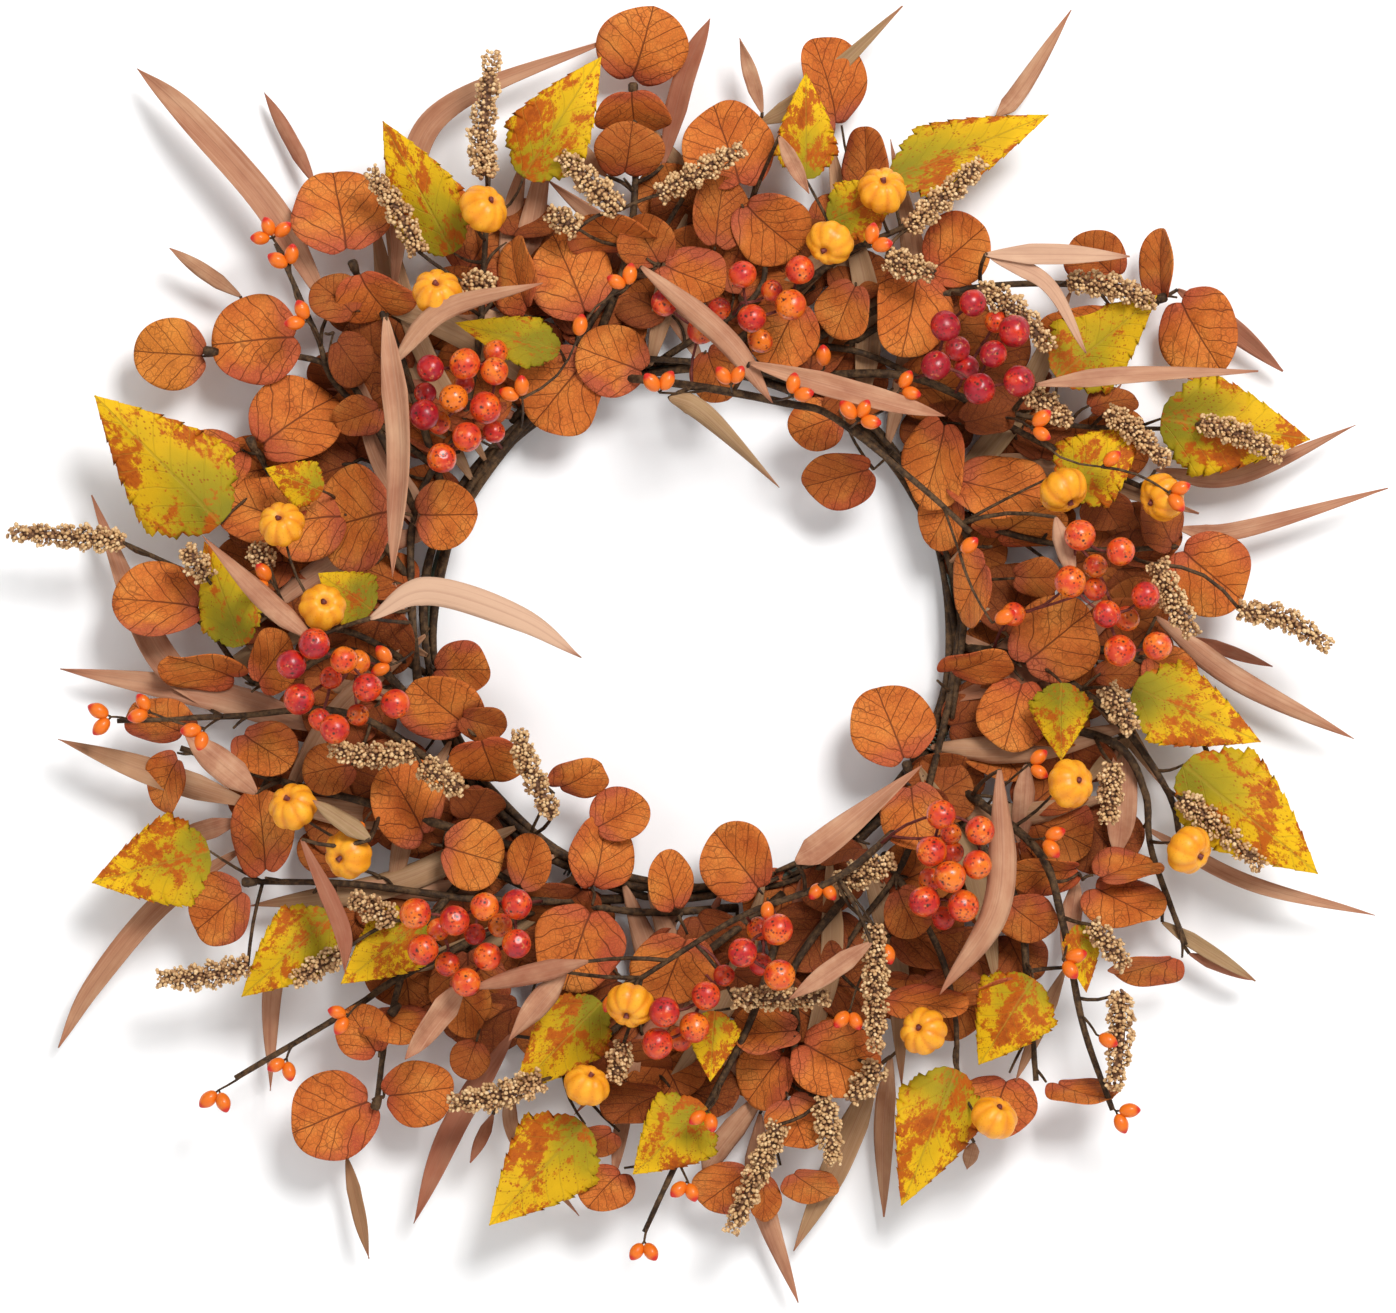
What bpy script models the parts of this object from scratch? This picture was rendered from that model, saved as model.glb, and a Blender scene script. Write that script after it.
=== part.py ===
"""Harvest door wreath: picks of leaves, berries, pumpkins and grain, wired to a metal hoop.

Metres, +Z up. The wreath hangs in the XZ plane and faces -Y. Its origin is the inside of the
hoop's top, where a door hook carries it. Tables of places are in millimetres from the hoop's
centre, as seen from the front; depth, the distance in front of the hoop, is worked out below.
"""

import math

import bmesh
import bpy
from mathutils import Matrix, Vector
from mathutils.bvhtree import BVHTree

MM = 0.001

# Hoop, and the stems that lie on it
HOOP_RADIUS = 117.0 * MM  # to the wire's centre line
HOOP_WIRE = 3.2 * MM  # wire diameter
HOOP_STEPS = 48
HOOP_SIDES = 5
STEM_DIAMETER = 7.0 * MM
STEM_COUNT = 4
STEM_BREAK = 6.0 * MM  # space between the ends of two stems
STEM_START = math.radians(20.0)  # clock angle of the first break
STEM_STEPS = 10
BINDING_WIRE = 1.6 * MM
BINDING_SLACK = 1.25  # width of a binding's loop, in stem diameters
BINDING_STEPS = 10
BINDING_SIDES = 4
GAP = 0.35 * MM  # between pieces that touch
STEM_FRONT = -(HOOP_WIRE / 2 + GAP + STEM_DIAMETER)  # y of the stems' front

# Picks
RISER_DIAMETER = 3.0 * MM
TWIG_DIAMETER = 1.3 * MM
LEAF_THICKNESS = 1.5 * MM
LEAF_SIDES = 7
FACET = 0.88  # how far a faceted disc or ball surely reaches, as a share of its radius
BERRY_DIAMETER = 13.0 * MM
PUMPKIN_DIAMETER = 21.0 * MM
PUMPKIN_HEIGHT = 0.82  # of its diameter
GRAIN_WIDTH = 12.0 * MM
GRAIN_SHAPE = ((0.0, 0.5), (0.3, 1.0), (0.75, 0.9), (1.0, 0.35))  # share of length, of width
GRAIN_SIDES = 5
BUD_DIAMETER = 7.0 * MM
BUD_LENGTH = 9.0 * MM
INSET = 3.0 * MM  # from a long item's base to the end of its twig inside it
EMBED = 1.5 * MM  # how far a twig runs into what it joins
ITEM_STAGGER = 4.5 * MM  # from one item of a pick to the next, in depth
BERRY_DEPTH = 58.0 * MM
FOOT_TRIES = 24  # places along the hoop, each way, where a pick's riser may start
FOOT_STEP = math.radians(2.0)
CROWN_LEANS = range(-3, 4)  # how far the riser's crown leans along the hoop, in steps
LEAN_STEP = math.radians(3.0)
CROWN_SHIFTS = (-24, -12, 0, 12, 24)  # mm, how far the crown stands out from the hoop
CLEARANCE = 0.45 * MM  # least space between two picks
DEPTH_STEP = 2.0 * MM  # a pick moves forward by this until it is clear
TIP_DROP = 0.38  # share of its depth that a pick loses at the wreath's rim
TABLE_RADIUS = 117.0 * MM  # hoop radius that the tables below were set out for
RIM_REACH = 170.0 * MM  # from the hoop to the rim

# Round leaves: centre x, z, then width and height
EUCALYPTUS = [
    (-155, 183, 44, 38), (-140, 145, 36, 21), (-230, 121, 33, 32), (-192, 127, 40, 40),
    (-175, 92, 42, 38), (-150, 118, 20, 25), (-212, 73, 33, 30), (-190, 52, 40, 30),
    (-170, 48, 38, 36), (-147, 48, 33, 48), (-109, 50, 28, 31), (-235, 12, 42, 33),
    (-202, 8, 22, 25), (-215, -18, 40, 16), (-185, -15, 20, 30), (-102, -18, 26, 24),
    (-110, -35, 38, 28), (-90, -58, 36, 20), (-235, -42, 32, 20), (-188, -53, 30, 24),
    (-232, -68, 18, 28), (-190, -90, 29, 40), (-125, -77, 32, 40), (-97, -100, 28, 32),
    (-72, -103, 20, 26), (-208, -124, 28, 33), (-145, -178, 25, 25), (-130, -174, 34, 16),
    (-158, -215, 39, 40), (-121, -205, 32, 30), (-98, -165, 20, 32), (-40, -100, 29, 33),
    (-32, -82, 27, 24), (-50, -67, 27, 17), (-10, -112, 20, 28), (20, -103, 32, 36),
    (-50, -140, 40, 39), (-8, -150, 38, 32), (32, -178, 32, 20), (32, -198, 25, 30),
    (63, -190, 40, 34), (46, -217, 28, 24), (52, -246, 26, 16), (15, -247, 30, 24),
    (-22, -208, 38, 17), (-44, -227, 26, 14), (-38, -246, 26, 20), (66, -98, 25, 12),
    (102, -165, 40, 14), (88, -43, 36, 36), (98, -83, 30, 30), (65, 66, 32, 25),
    (55, 90, 25, 24), (107, 73, 27, 42), (110, 48, 20, 28), (135, 62, 45, 28),
    (145, 46, 38, 18), (123, 18, 16, 34), (125, -17, 34, 14), (142, -38, 32, 33),
    (160, -5, 40, 39), (183, 52, 24, 18), (207, 48, 20, 29), (228, 24, 36, 38),
    (210, -18, 25, 21), (155, -108, 34, 17), (192, -105, 32, 14), (190, -120, 38, 22),
    (200, -150, 34, 14), (135, -162, 33, 14), (172, -204, 33, 10), (135, -210, 35, 27),
    (-22, 256, 41, 34), (-26, 227, 34, 18), (-28, 210, 31, 24), (16, 212, 41, 40),
    (61, 240, 28, 44), (76, 205, 20, 32), (35, 176, 35, 32), (-53, 155, 37, 40),
    (-35, 173, 40, 16), (0, 155, 32, 26), (-35, 118, 33, 32), (-58, 105, 38, 38),
    (40, 130, 32, 33), (67, 140, 24, 27), (97, 140, 34, 42), (-78, 155, 18, 36),
    (117, 167, 30, 34), (178, 163, 28, 25), (206, 160, 14, 33), (223, 130, 34, 42),
    (172, 130, 38, 22), (130, 93, 25, 18),
]

# Toothed leaves: base, tip, then width
BIRCH = [
    ((-105, 165), (-136, 223), 34), ((-207, 46), (-262, 102), 48), ((-74, 198), (-40, 251), 36),
    ((50, 197), (50, 244), 26), ((60, 178), (94, 194), 26), ((88, 198), (157, 226), 32),
    ((-58, 122), (-104, 134), 22), ((160, 110), (204, 146), 34), ((206, 92), (272, 83), 40),
    ((162, 60), (198, 88), 32), ((-198, -8), (-214, 38), 28), ((-140, 8), (-164, 24), 22),
    ((-162, 60), (-187, 70), 18), ((-212, -98), (-264, -112), 38), ((-158, -126), (-198, -162), 30),
    ((-118, -128), (-154, -156), 28), ((-47, -218), (-89, -262), 38), ((6, -210), (-26, -240), 34),
    ((10, -168), (8, -199), 22), ((-40, -164), (-78, -204), 32), ((116, -194), (92, -254), 36),
    ((162, -24), (162, -58), 26), ((194, -26), (250, -50), 34), ((216, -60), (275, -108), 44),
    ((150, -154), (126, -192), 34), ((170, -130), (173, -160), 14),
]

# Long blades: points from base to tip, then width
BACK_BLADES = [
    ([(-160, 140), (-186, 185), (-222, 226), (-246, 248)], 12), ([(-168, 198), (-190, 238)], 6),
    ([(-200, 147), (-231, 168)], 6), ([(-132, 150), (-125, 200), (-105, 232), (-31, 262)], 10),
    ([(-80, 120), (-75, 155), (-62, 224)], 13), ([(-13, 205), (-3, 245), (8, 270)], 9),
    ([(30, 223), (50, 235), (93, 275)], 8), ([(31, 228), (21, 261)], 6),
    ([(-38, 200), (-60, 223)], 6), ([(135, 227), (145, 238), (168, 274)], 7),
    ([(215, 150), (240, 132), (262, 114)], 9), ([(205, 70), (240, 67), (294, 90)], 7),
    ([(215, 44), (240, 43), (308, 62)], 7), ([(-215, -35), (-240, -5), (-266, 59)], 12),
    ([(-163, -45), (-210, -30), (-280, -18)], 12), ([(-195, -78), (-235, -65), (-280, -49)], 11),
    ([(-200, -85), (-238, -96)], 8), ([(-200, -98), (-235, -122), (-265, -158), (-281, -186)], 9),
    ([(-168, -118), (-185, -155), (-187, -205)], 8), ([(-153, -235), (-143, -279)], 6),
    ([(-80, -180), (-105, -220), (-123, -263)], 10), ([(82, -195), (65, -235), (45, -276)], 11),
    ([(88, -190), (85, -220), (85, -261)], 8), ([(30, -215), (30, -250), (47, -299)], 10),
    ([(-80, -200), (-78, -225), (-50, -260)], 6), ([(-22, -180), (-31, -220), (-35, -245)], 6),
    ([(205, 5), (240, -22), (293, -49)], 9), ([(220, -4), (257, -17)], 5),
    ([(190, -48), (190, -80), (188, -102)], 12), ([(200, -88), (245, -112), (302, -127)], 6),
    ([(208, -130), (249, -156)], 6), ([(165, -150), (143, -200)], 6),
]
FRONT_BLADES = [
    ([(-133, 135), (-127, 80), (-130, 22)], 11), ([(-130, 115), (-108, 138), (-65, 150)], 8),
    ([(-22, 157), (15, 125), (35, 98)], 9), ([(-10, 100), (5, 93), (38, 61)], 8),
    ([(25, 115), (75, 101), (110, 92)], 9), ([(128, 163), (160, 163), (191, 162)], 8),
    ([(130, 162), (155, 150), (172, 120)], 7), ([(150, 106), (190, 110), (247, 112)], 7),
    ([(-165, -5), (-185, 12), (-213, 40)], 9), ([(-140, 4), (-115, 16), (-75, 4), (-48, -13)], 11),
    ([(-140, -92), (-165, -75)], 8), ([(-190, -72), (-222, -46)], 12),
    ([(-170, -92), (-153, -130), (-151, -150)], 7), ([(-100, -155), (-125, -188)], 11),
    ([(78, -137), (42, -162)], 8), ([(-45, -145), (-97, -157)], 8),
    ([(45, -102), (60, -92), (100, -60)], 11), ([(134, -62), (133, -120), (108, -160)], 11),
    ([(158, 48), (166, 20)], 7), ([(38, 214), (51, 189)], 6), ([(-55, -150), (-80, -180)], 10),
]

# Grain spikes: points from base to tip
GRAIN = [
    [(-120, 165), (-130, 185), (-141, 200)], [(-90, 198), (-92, 215), (-87, 252)],
    [(-100, 151), (-86, 150)], [(-32, 183), (-57, 207)], [(-14, 190), (22, 210)],
    [(-50, 175), (-63, 182)], [(95, 175), (127, 204)], [(85, 162), (105, 155)],
    [(125, 148), (140, 140), (157, 122)], [(165, 152), (185, 150), (203, 142)],
    [(148, 103), (165, 90)], [(182, 95), (195, 85), (208, 72)], [(223, 90), (240, 85), (258, 75)],
    [(-250, 38), (-270, 40), (-300, 42)], [(-213, 22), (-222, 35)], [(-185, 27), (-192, 36)],
    [(-122, -54), (-140, -56), (-158, -53)], [(-118, -60), (-100, -71)],
    [(-61, -82), (-72, -60), (-76, -45)], [(-195, -148), (-215, -153), (-234, -154)],
    [(-153, -142), (-175, -155)], [(-130, -128), (-150, -118)],
    [(-66, -198), (-85, -205), (-106, -208)], [(-30, -182), (-34, -198)],
    [(18, -162), (60, -162)], [(80, -130), (80, -185)], [(64, -112), (88, -102)],
    [(38, -218), (28, -240), (17, -265)], [(58, -206), (62, -235)], [(82, -192), (70, -207)],
    [(240, 8), (260, 4), (279, -8)], [(203, 28), (210, 12), (219, -3)], [(182, -26), (193, -45)],
    [(184, -60), (182, -85)], [(215, -75), (232, -88), (250, -105)], [(175, -130), (190, -148)],
    [(187, -160), (188, -178), (185, -202)],
]

PUMPKINS = [
    (-111, 146), (-91, 183), (-179, 45), (-161, 9), (-174, -78), (-150, -99), (-27, -164),
    (-46, -200), (101, -176), (132, -214), (165, -68), (217, -97), (162, 60), (205, 57),
    (83, 191), (60, 168),
]

BERRY_CLUSTERS = [
    [(-114, 113), (-99, 115), (-86, 112), (-104, 100), (-90, 96), (-117, 93), (-98, 83), (-109, 74)],
    [(22, 154), (47, 156), (26, 135), (43, 141), (-12, 142), (4, 130)],
    [(122, 141), (110, 131), (140, 129), (131, 119), (106, 114), (125, 104), (142, 107)],
    [(-164, -7), (-174, -16), (-151, -14), (-141, -26), (-129, -33), (-171, -31), (-155, -44)],
    [(-120, -124), (-103, -127), (-90, -121), (-76, -120), (-117, -140), (-89, -143), (-76, -137),
     (-98, -154)],
    [(37, -131), (22, -141), (38, -151), (6, -160), (-15, -181), (1, -174), (-12, -167)],
    [(168, 40), (186, 33), (164, 20), (197, 14), (180, 6), (186, -10), (202, -8)],
    [(108, -81), (125, -88), (104, -97), (124, -103), (101, -119), (118, -121), (112, -108)],
]

# Small buds on the wires that run through the picks
BUDS = [
    (-184, 176), (-175, 159), (-168, 136), (-259, -37), (-240, -37), (-213, -43), (-206, -203),
    (-181, -189), (-151, -169), (-24, -270), (-2, -242), (6, -213), (33, -118), (61, -113),
    (153, -93), (162, -145), (177, -178), (188, -212), (116, 32), (130, 2), (207, 60), (146, 87),
    (93, 108), (72, 88), (42, 100), (17, 105), (-15, 102), (-74, 99), (-28, 148), (77, 165),
]

PICK_KINDS = (
    # name, count round the ring, depth that the first is tried at, mm
    ("back_blade_pick", 6, 11),
    ("eucalyptus_pick", 11, 24),
    ("birch_pick", 6, 38),
    ("grain_pick", 6, 46),
    ("pumpkin_pick", 6, 52),
    ("front_blade_pick", 5, 64),
    ("bud_pick", 3, 44),
)

COLORS = {
    "wire": ((0.05, 0.04, 0.04), 0.45, 0.9),
    "stem": ((0.05, 0.03, 0.02), 0.85, 0.0),
    "eucalyptus_pick": ((0.60, 0.20, 0.04), 0.7, 0.0),
    "birch_pick": ((0.62, 0.36, 0.03), 0.7, 0.0),
    "back_blade_pick": ((0.45, 0.24, 0.14), 0.8, 0.0),
    "front_blade_pick": ((0.58, 0.35, 0.22), 0.8, 0.0),
    "grain_pick": ((0.60, 0.38, 0.18), 0.9, 0.0),
    "pumpkin_pick": ((0.90, 0.45, 0.05), 0.6, 0.0),
    "berry_pick": ((0.70, 0.06, 0.02), 0.25, 0.0),
    "bud_pick": ((0.85, 0.25, 0.03), 0.5, 0.0),
}


def clear_scene():
    for obj in list(bpy.data.objects):
        bpy.data.objects.remove(obj, do_unlink=True)


def collection(name):
    made = bpy.data.collections.new(name)
    bpy.context.scene.collection.children.link(made)
    return made


def material(name, kind):
    color, roughness, metallic = COLORS[kind]
    made = bpy.data.materials.new(name)
    made.use_nodes = True
    shader = made.node_tree.nodes["Principled BSDF"]
    shader.inputs["Base Color"].default_value = (*color, 1.0)
    shader.inputs["Roughness"].default_value = roughness
    shader.inputs["Metallic"].default_value = metallic
    return made


def add_object(name, mesh, kind):
    """A finished sub-part, in the wreath's collection and under its centre."""
    obj = bpy.data.objects.new(name, mesh)
    mesh.materials.append(material(name, kind))
    PARTS.objects.link(obj)
    obj.parent = CENTRE
    return obj


def spread(x, z):
    """A table's place, moved out with the hoop if the hoop is made larger."""
    radius = math.hypot(x, z)
    shift = (HOOP_RADIUS - TABLE_RADIUS) / MM
    scale = (radius + shift) / radius
    return Vector((x * scale * MM, 0.0, z * scale * MM))


def clock_angle(point):
    return math.atan2(point.z, point.x) % math.tau


def depth_at(point, depth):
    """How far in front of the hoop a pick lies at this place: less towards the rim."""
    out = (math.hypot(point.x, point.z) - HOOP_RADIUS) / RIM_REACH
    out = min(max(out, 0.0), 1.0)
    return depth * (1.0 - TIP_DROP * out * out)


# Shapes. Each adds one closed shell to bm.


def add_rod(bm, points, radii, sides):
    """A rod through the points, with its own radius at each of them."""
    steps = [(after - before).normalized() for before, after in zip(points, points[1:])]
    tangents = [steps[0]]
    tangents += [(a + b).normalized() for a, b in zip(steps, steps[1:])]
    tangents.append(steps[-1])
    turn = Vector((0, 0, 1)).rotation_difference(tangents[0]).to_matrix().to_4x4()
    place = Matrix.Translation(points[0]) @ turn
    disc = bmesh.ops.create_circle(
        bm, cap_ends=True, segments=sides, radius=radii[0], matrix=place
    )
    face = disc["verts"][0].link_faces[0]
    for number in range(1, len(points)):
        before = face
        made = bmesh.ops.extrude_face_region(bm, geom=[before])["geom"]
        face = next(item for item in made if isinstance(item, bmesh.types.BMFace))
        if number > 1:
            bmesh.ops.delete(bm, geom=[before], context="FACES_ONLY")
        bend = tangents[number - 1].rotation_difference(tangents[number])
        scale = radii[number] / radii[number - 1]
        for vert in face.verts:
            offset = vert.co - points[number - 1]
            vert.co = points[number] + (bend @ offset) * scale


def thicken(bm, face):
    """Turns one flat face into a leaf's plate."""
    made = bmesh.ops.extrude_face_region(bm, geom=[face])["geom"]
    front = [item for item in made if isinstance(item, bmesh.types.BMVert)]
    bmesh.ops.translate(bm, verts=front, vec=(0, -LEAF_THICKNESS / 2, 0))
    bmesh.ops.translate(bm, verts=list(face.verts), vec=(0, LEAF_THICKNESS / 2, 0))


def add_round_leaf(bm, centre, width, height):
    place = Matrix.Translation(centre) @ Matrix.Diagonal((width / 2, 1, height / 2, 1))
    turned = place @ Matrix.Rotation(math.radians(90), 4, "X")
    disc = bmesh.ops.create_circle(
        bm, cap_ends=True, segments=LEAF_SIDES, radius=1.0, matrix=turned
    )
    thicken(bm, disc["verts"][0].link_faces[0])


def add_long_leaf(bm, points, width, stations):
    """A leaf along a bent midrib, widest at about a third of its length."""
    base, tip = points[0], points[-1]
    chord = Vector((tip.x - base.x, 0, tip.z - base.z))
    rise = tip.y - base.y
    left = []
    right = []
    for number in range(stations):
        share = number / (stations - 1)
        place = along_points(points, share)
        ahead = along_points(points, min(share + 0.1, 1.0))
        behind = along_points(points, max(share - 0.1, 0.0))
        run = (ahead - behind).normalized()
        side = Vector((-run.z, 0, run.x)).normalized()
        half = width / 2 * max(math.sin(math.pi * (0.08 + 0.9 * share) ** 0.8), 0.12)
        left.append(place + side * half)
        right.append(place - side * half)
    outline = left + right[::-1]
    for corner in outline:
        share = (corner - base).dot(chord) / chord.length_squared
        corner.y = base.y + rise * share
    thicken(bm, bm.faces.new([bm.verts.new(corner) for corner in outline]))


def along_points(points, share):
    """The place at this share of the way along straight stretches of equal weight."""
    where = share * (len(points) - 1)
    first = min(int(where), len(points) - 2)
    return points[first].lerp(points[first + 1], where - first)


def add_ball(bm, centre, size, sides, rings):
    """A closed ball of the given size along x, y and z."""
    place = Matrix.Translation(centre) @ Matrix.Diagonal((*(size / 2), 1))
    bmesh.ops.create_uvsphere(bm, u_segments=sides, v_segments=rings, radius=1.0, matrix=place)


def add_grain_spike(bm, points):
    """A blunt spike, thickest near its base."""
    places = [along_points(points, share) for share, _ in GRAIN_SHAPE]
    radii = [GRAIN_WIDTH / 2 * part for _, part in GRAIN_SHAPE]
    add_rod(bm, places, radii, GRAIN_SIDES)


# Items. Each takes one row of a table.


def row_places(row, kind):
    """The row's places in the table."""
    if kind == "birch_pick":
        return row[:2]
    if kind == "grain_pick":
        return row
    if kind in ("back_blade_pick", "front_blade_pick"):
        return row[0]
    return [row[:2]]


def row_points(row, kind, depth, lift):
    """The row's places on the pick's surface, spread for the hoop's size."""
    points = [spread(*place) for place in row_places(row, kind)]
    return [Vector((p.x, lift - depth_at(p, depth), p.z)) for p in points]


def add_item(bm, row, kind, points):
    """Adds the row's item, and returns where twigs meet it and its size there along x and z."""
    centre = points[0]
    if kind == "eucalyptus_pick":
        width, height = row[2] * MM, row[3] * MM
        add_round_leaf(bm, centre, width, height)
        return centre, (width / 2 * FACET, height / 2 * FACET)
    if kind == "berry_pick":
        add_ball(bm, centre, Vector((1, 1, 1)) * BERRY_DIAMETER, 6, 3)
        return centre, (BERRY_DIAMETER / 2 * FACET, BERRY_DIAMETER / 2 * FACET)
    if kind == "pumpkin_pick":
        wide = PUMPKIN_DIAMETER
        add_ball(bm, centre, Vector((wide, wide * PUMPKIN_HEIGHT, wide)), 8, 4)
        return centre, (wide / 2 * FACET, wide / 2 * FACET)
    if kind == "bud_pick":
        add_ball(bm, centre, Vector((BUD_DIAMETER, BUD_DIAMETER, BUD_LENGTH)), 4, 3)
        return centre, (EMBED, EMBED)
    if kind == "grain_pick":
        add_grain_spike(bm, points)
    elif kind == "birch_pick":
        add_long_leaf(bm, points, row[2] * MM, 5)
    else:
        add_long_leaf(bm, points, row[1] * MM, len(points) + 1)
    inside = points[0] + (points[1] - points[0]).normalized() * INSET
    return inside, (EMBED, EMBED)


def rim_share(item, run):
    """How much of this run from the item's centre lies inside its rim."""
    half_x, half_z = item[1]
    return 1.0 / max(math.hypot(run.x / half_x, run.z / half_z), 1e-6)


def rim_point(item, towards):
    """Just inside the item's rim, on the side of another point."""
    run = towards - item[0]
    share = rim_share(item, run) - EMBED / max(run.length, EMBED)
    point = item[0] + run * min(max(share, 0.0), 0.5)
    point.y = item[0].y
    return point


def join_points(first, second):
    """The two ends of the twig between two items."""
    run = second[0] - first[0]
    near = rim_share(first, run)
    far = 1.0 - rim_share(second, -run)
    if far > near:
        return rim_point(first, second[0]), rim_point(second, first[0])
    # The items lie over each other, so a short post joins them from front to back.
    middle = first[0] + run * min(max((near + far) / 2, 0.15), 0.85)
    front, back = sorted((first[0].y, second[0].y))
    margin = LEAF_THICKNESS / 3
    return (
        Vector((middle.x, front - margin, middle.z)),
        Vector((middle.x, back + margin, middle.z)),
    )


def add_twigs(bm, items):
    """Joins every item to the nearest one that already has a twig."""
    joined = [items[0]]
    waiting = list(items[1:])
    while waiting:
        pairs = [(a, b) for a in joined for b in waiting]
        start, end = min(pairs, key=lambda pair: (pair[0][0] - pair[1][0]).length)
        add_rod(bm, join_points(start, end), [TWIG_DIAMETER / 2] * 2, 3)
        joined.append(end)
        waiting.remove(end)


def search_tree(bm, swell):
    """A search tree of the shape, made larger all round by swell."""
    copy = bm.copy()
    bmesh.ops.recalc_face_normals(copy, faces=copy.faces)
    bmesh.ops.triangulate(copy, faces=copy.faces)
    copy.verts.index_update()
    points = [vert.co + vert.normal * swell for vert in copy.verts]
    faces = [[vert.index for vert in face.verts] for face in copy.faces]
    copy.free()
    return BVHTree.FromPolygons(points, faces)


def clear_of(bm, placed):
    tree = search_tree(bm, CLEARANCE)
    return not any(tree.overlap(other) for other in placed)


def near_break(angle):
    """True where the foot would miss the stems' ends."""
    pitch = math.tau / STEM_COUNT
    offset = (angle - STEM_START + pitch / 2) % pitch - pitch / 2
    return abs(offset) * HOOP_RADIUS < STEM_BREAK / 2 + RISER_DIAMETER


def riser_ways(items, depth):
    """Every crown and foot worth trying, the shortest first."""
    middle = sum((item[0] for item in items), Vector()) / len(items)
    ways = []
    for step in range(-FOOT_TRIES, FOOT_TRIES + 1):
        foot_angle = clock_angle(middle) + FOOT_STEP * step
        if near_break(foot_angle):
            continue
        for lean in CROWN_LEANS:
            for out in CROWN_SHIFTS:
                crown = ring_point(foot_angle + LEAN_STEP * lean, HOOP_RADIUS + out * MM)
                crown.y = -depth_at(crown, depth)
                nearest = min(items, key=lambda item: (item[0] - crown).length)
                cost = (nearest[0] - crown).length + (abs(lean) * 2 + abs(out) * 0.2) * MM
                ways.append((cost, len(ways), crown, foot_angle, nearest))
    return sorted(ways, key=lambda way: way[:2])


def find_riser(items, depth, placed):
    """The first stem from the hoop to the pick that touches nothing, as a bmesh."""
    for _, _, crown, foot_angle, nearest in riser_ways(items, depth):
        foot = ring_point(foot_angle, HOOP_RADIUS)
        foot.y = STEM_FRONT - GAP
        bend = foot + Vector((0, -RISER_DIAMETER, 0))
        points = [foot, bend, crown, rim_point(nearest, crown)]
        if (points[3] - crown).length < EMBED:
            points.pop()
            points[-1] = nearest[0]
        bm = bmesh.new()
        add_rod(bm, points, [RISER_DIAMETER / 2] * 2 + [TWIG_DIAMETER / 2] * (len(points) - 2), 4)
        if clear_of(bm, placed):
            return bm
        bm.free()
    return None


def helper(name, bm):
    """A hidden object that holds the shape while a piece is joined."""
    bmesh.ops.recalc_face_normals(bm, faces=bm.faces)
    mesh = bpy.data.meshes.new(name)
    bm.to_mesh(mesh)
    bm.free()
    obj = bpy.data.objects.new(name, mesh)
    obj.display_type = "WIRE"
    CUTTERS.objects.link(obj)
    return obj


def united(name, shapes):
    """One closed mesh out of shapes that each hold overlapping shells."""
    first, second = [helper(f"{name}_{number}", bm) for number, bm in enumerate(shapes)]
    union = first.modifiers.new("union", "BOOLEAN")
    union.operation = "UNION"
    union.solver = "EXACT"
    union.use_self = True
    union.object = second
    graph = bpy.context.evaluated_depsgraph_get()
    mesh = bpy.data.meshes.new_from_object(first.evaluated_get(graph))
    mesh.name = name
    for obj in (first, second):
        bpy.data.objects.remove(obj, do_unlink=True)
    return mesh


def stagger(number):
    """How far back an item of a pick lies, so that neighbours overlap without meeting."""
    return ITEM_STAGGER * ((number * 0.37) % 1.9 - 0.95)


def make_pick(name, kind, rows, first_depth, placed):
    """Builds one pick, moved forward until nothing in placed is in its way."""
    depth = first_depth
    while True:
        shapes = bmesh.new()
        items = []
        for number, row in enumerate(rows):
            points = row_points(row, kind, depth, stagger(number))
            items.append(add_item(shapes, row, kind, points))
        twigs = bmesh.new()
        add_twigs(twigs, items)
        if clear_of(shapes, placed) and clear_of(twigs, placed):
            riser = find_riser(items, depth, placed)
            if riser is not None:
                break
        depth += DEPTH_STEP
    stem = helper("riser", riser)
    twigs.from_mesh(stem.data)
    bpy.data.objects.remove(stem, do_unlink=True)
    mesh = united(name, (twigs, shapes))
    add_object(name, mesh, kind)
    placed.append(mesh_tree(mesh))


def mesh_tree(mesh):
    bm = bmesh.new()
    bm.from_mesh(mesh)
    tree = search_tree(bm, 0.0)
    bm.free()
    return tree


def shares(rows, count, kind):
    """Splits the rows into count picks that follow each other round the hoop."""
    order = sorted(rows, key=lambda row: clock_angle(spread(*row_places(row, kind)[0])))
    edges = [round(len(order) * number / count) for number in range(count + 1)]
    return [order[start:end] for start, end in zip(edges, edges[1:])]


# Hoop, stems and bindings


def ring_point(angle, radius):
    return Vector((math.cos(angle) * radius, 0, math.sin(angle) * radius))


def make_hoop():
    bpy.ops.mesh.primitive_torus_add(
        major_segments=HOOP_STEPS,
        minor_segments=HOOP_SIDES,
        major_radius=HOOP_RADIUS,
        minor_radius=HOOP_WIRE / 2,
    )
    made = bpy.context.object
    made.data.transform(Matrix.Rotation(math.radians(90), 4, "X"))
    return adopt(made, "wire_hoop", "wire")


def adopt(made, name, kind):
    """Takes over the mesh of a primitive, and returns its search tree."""
    mesh = made.data
    bpy.data.objects.remove(made, do_unlink=True)
    mesh.name = name
    mesh.shade_smooth()
    add_object(name, mesh, kind)
    return mesh_tree(mesh)


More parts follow.
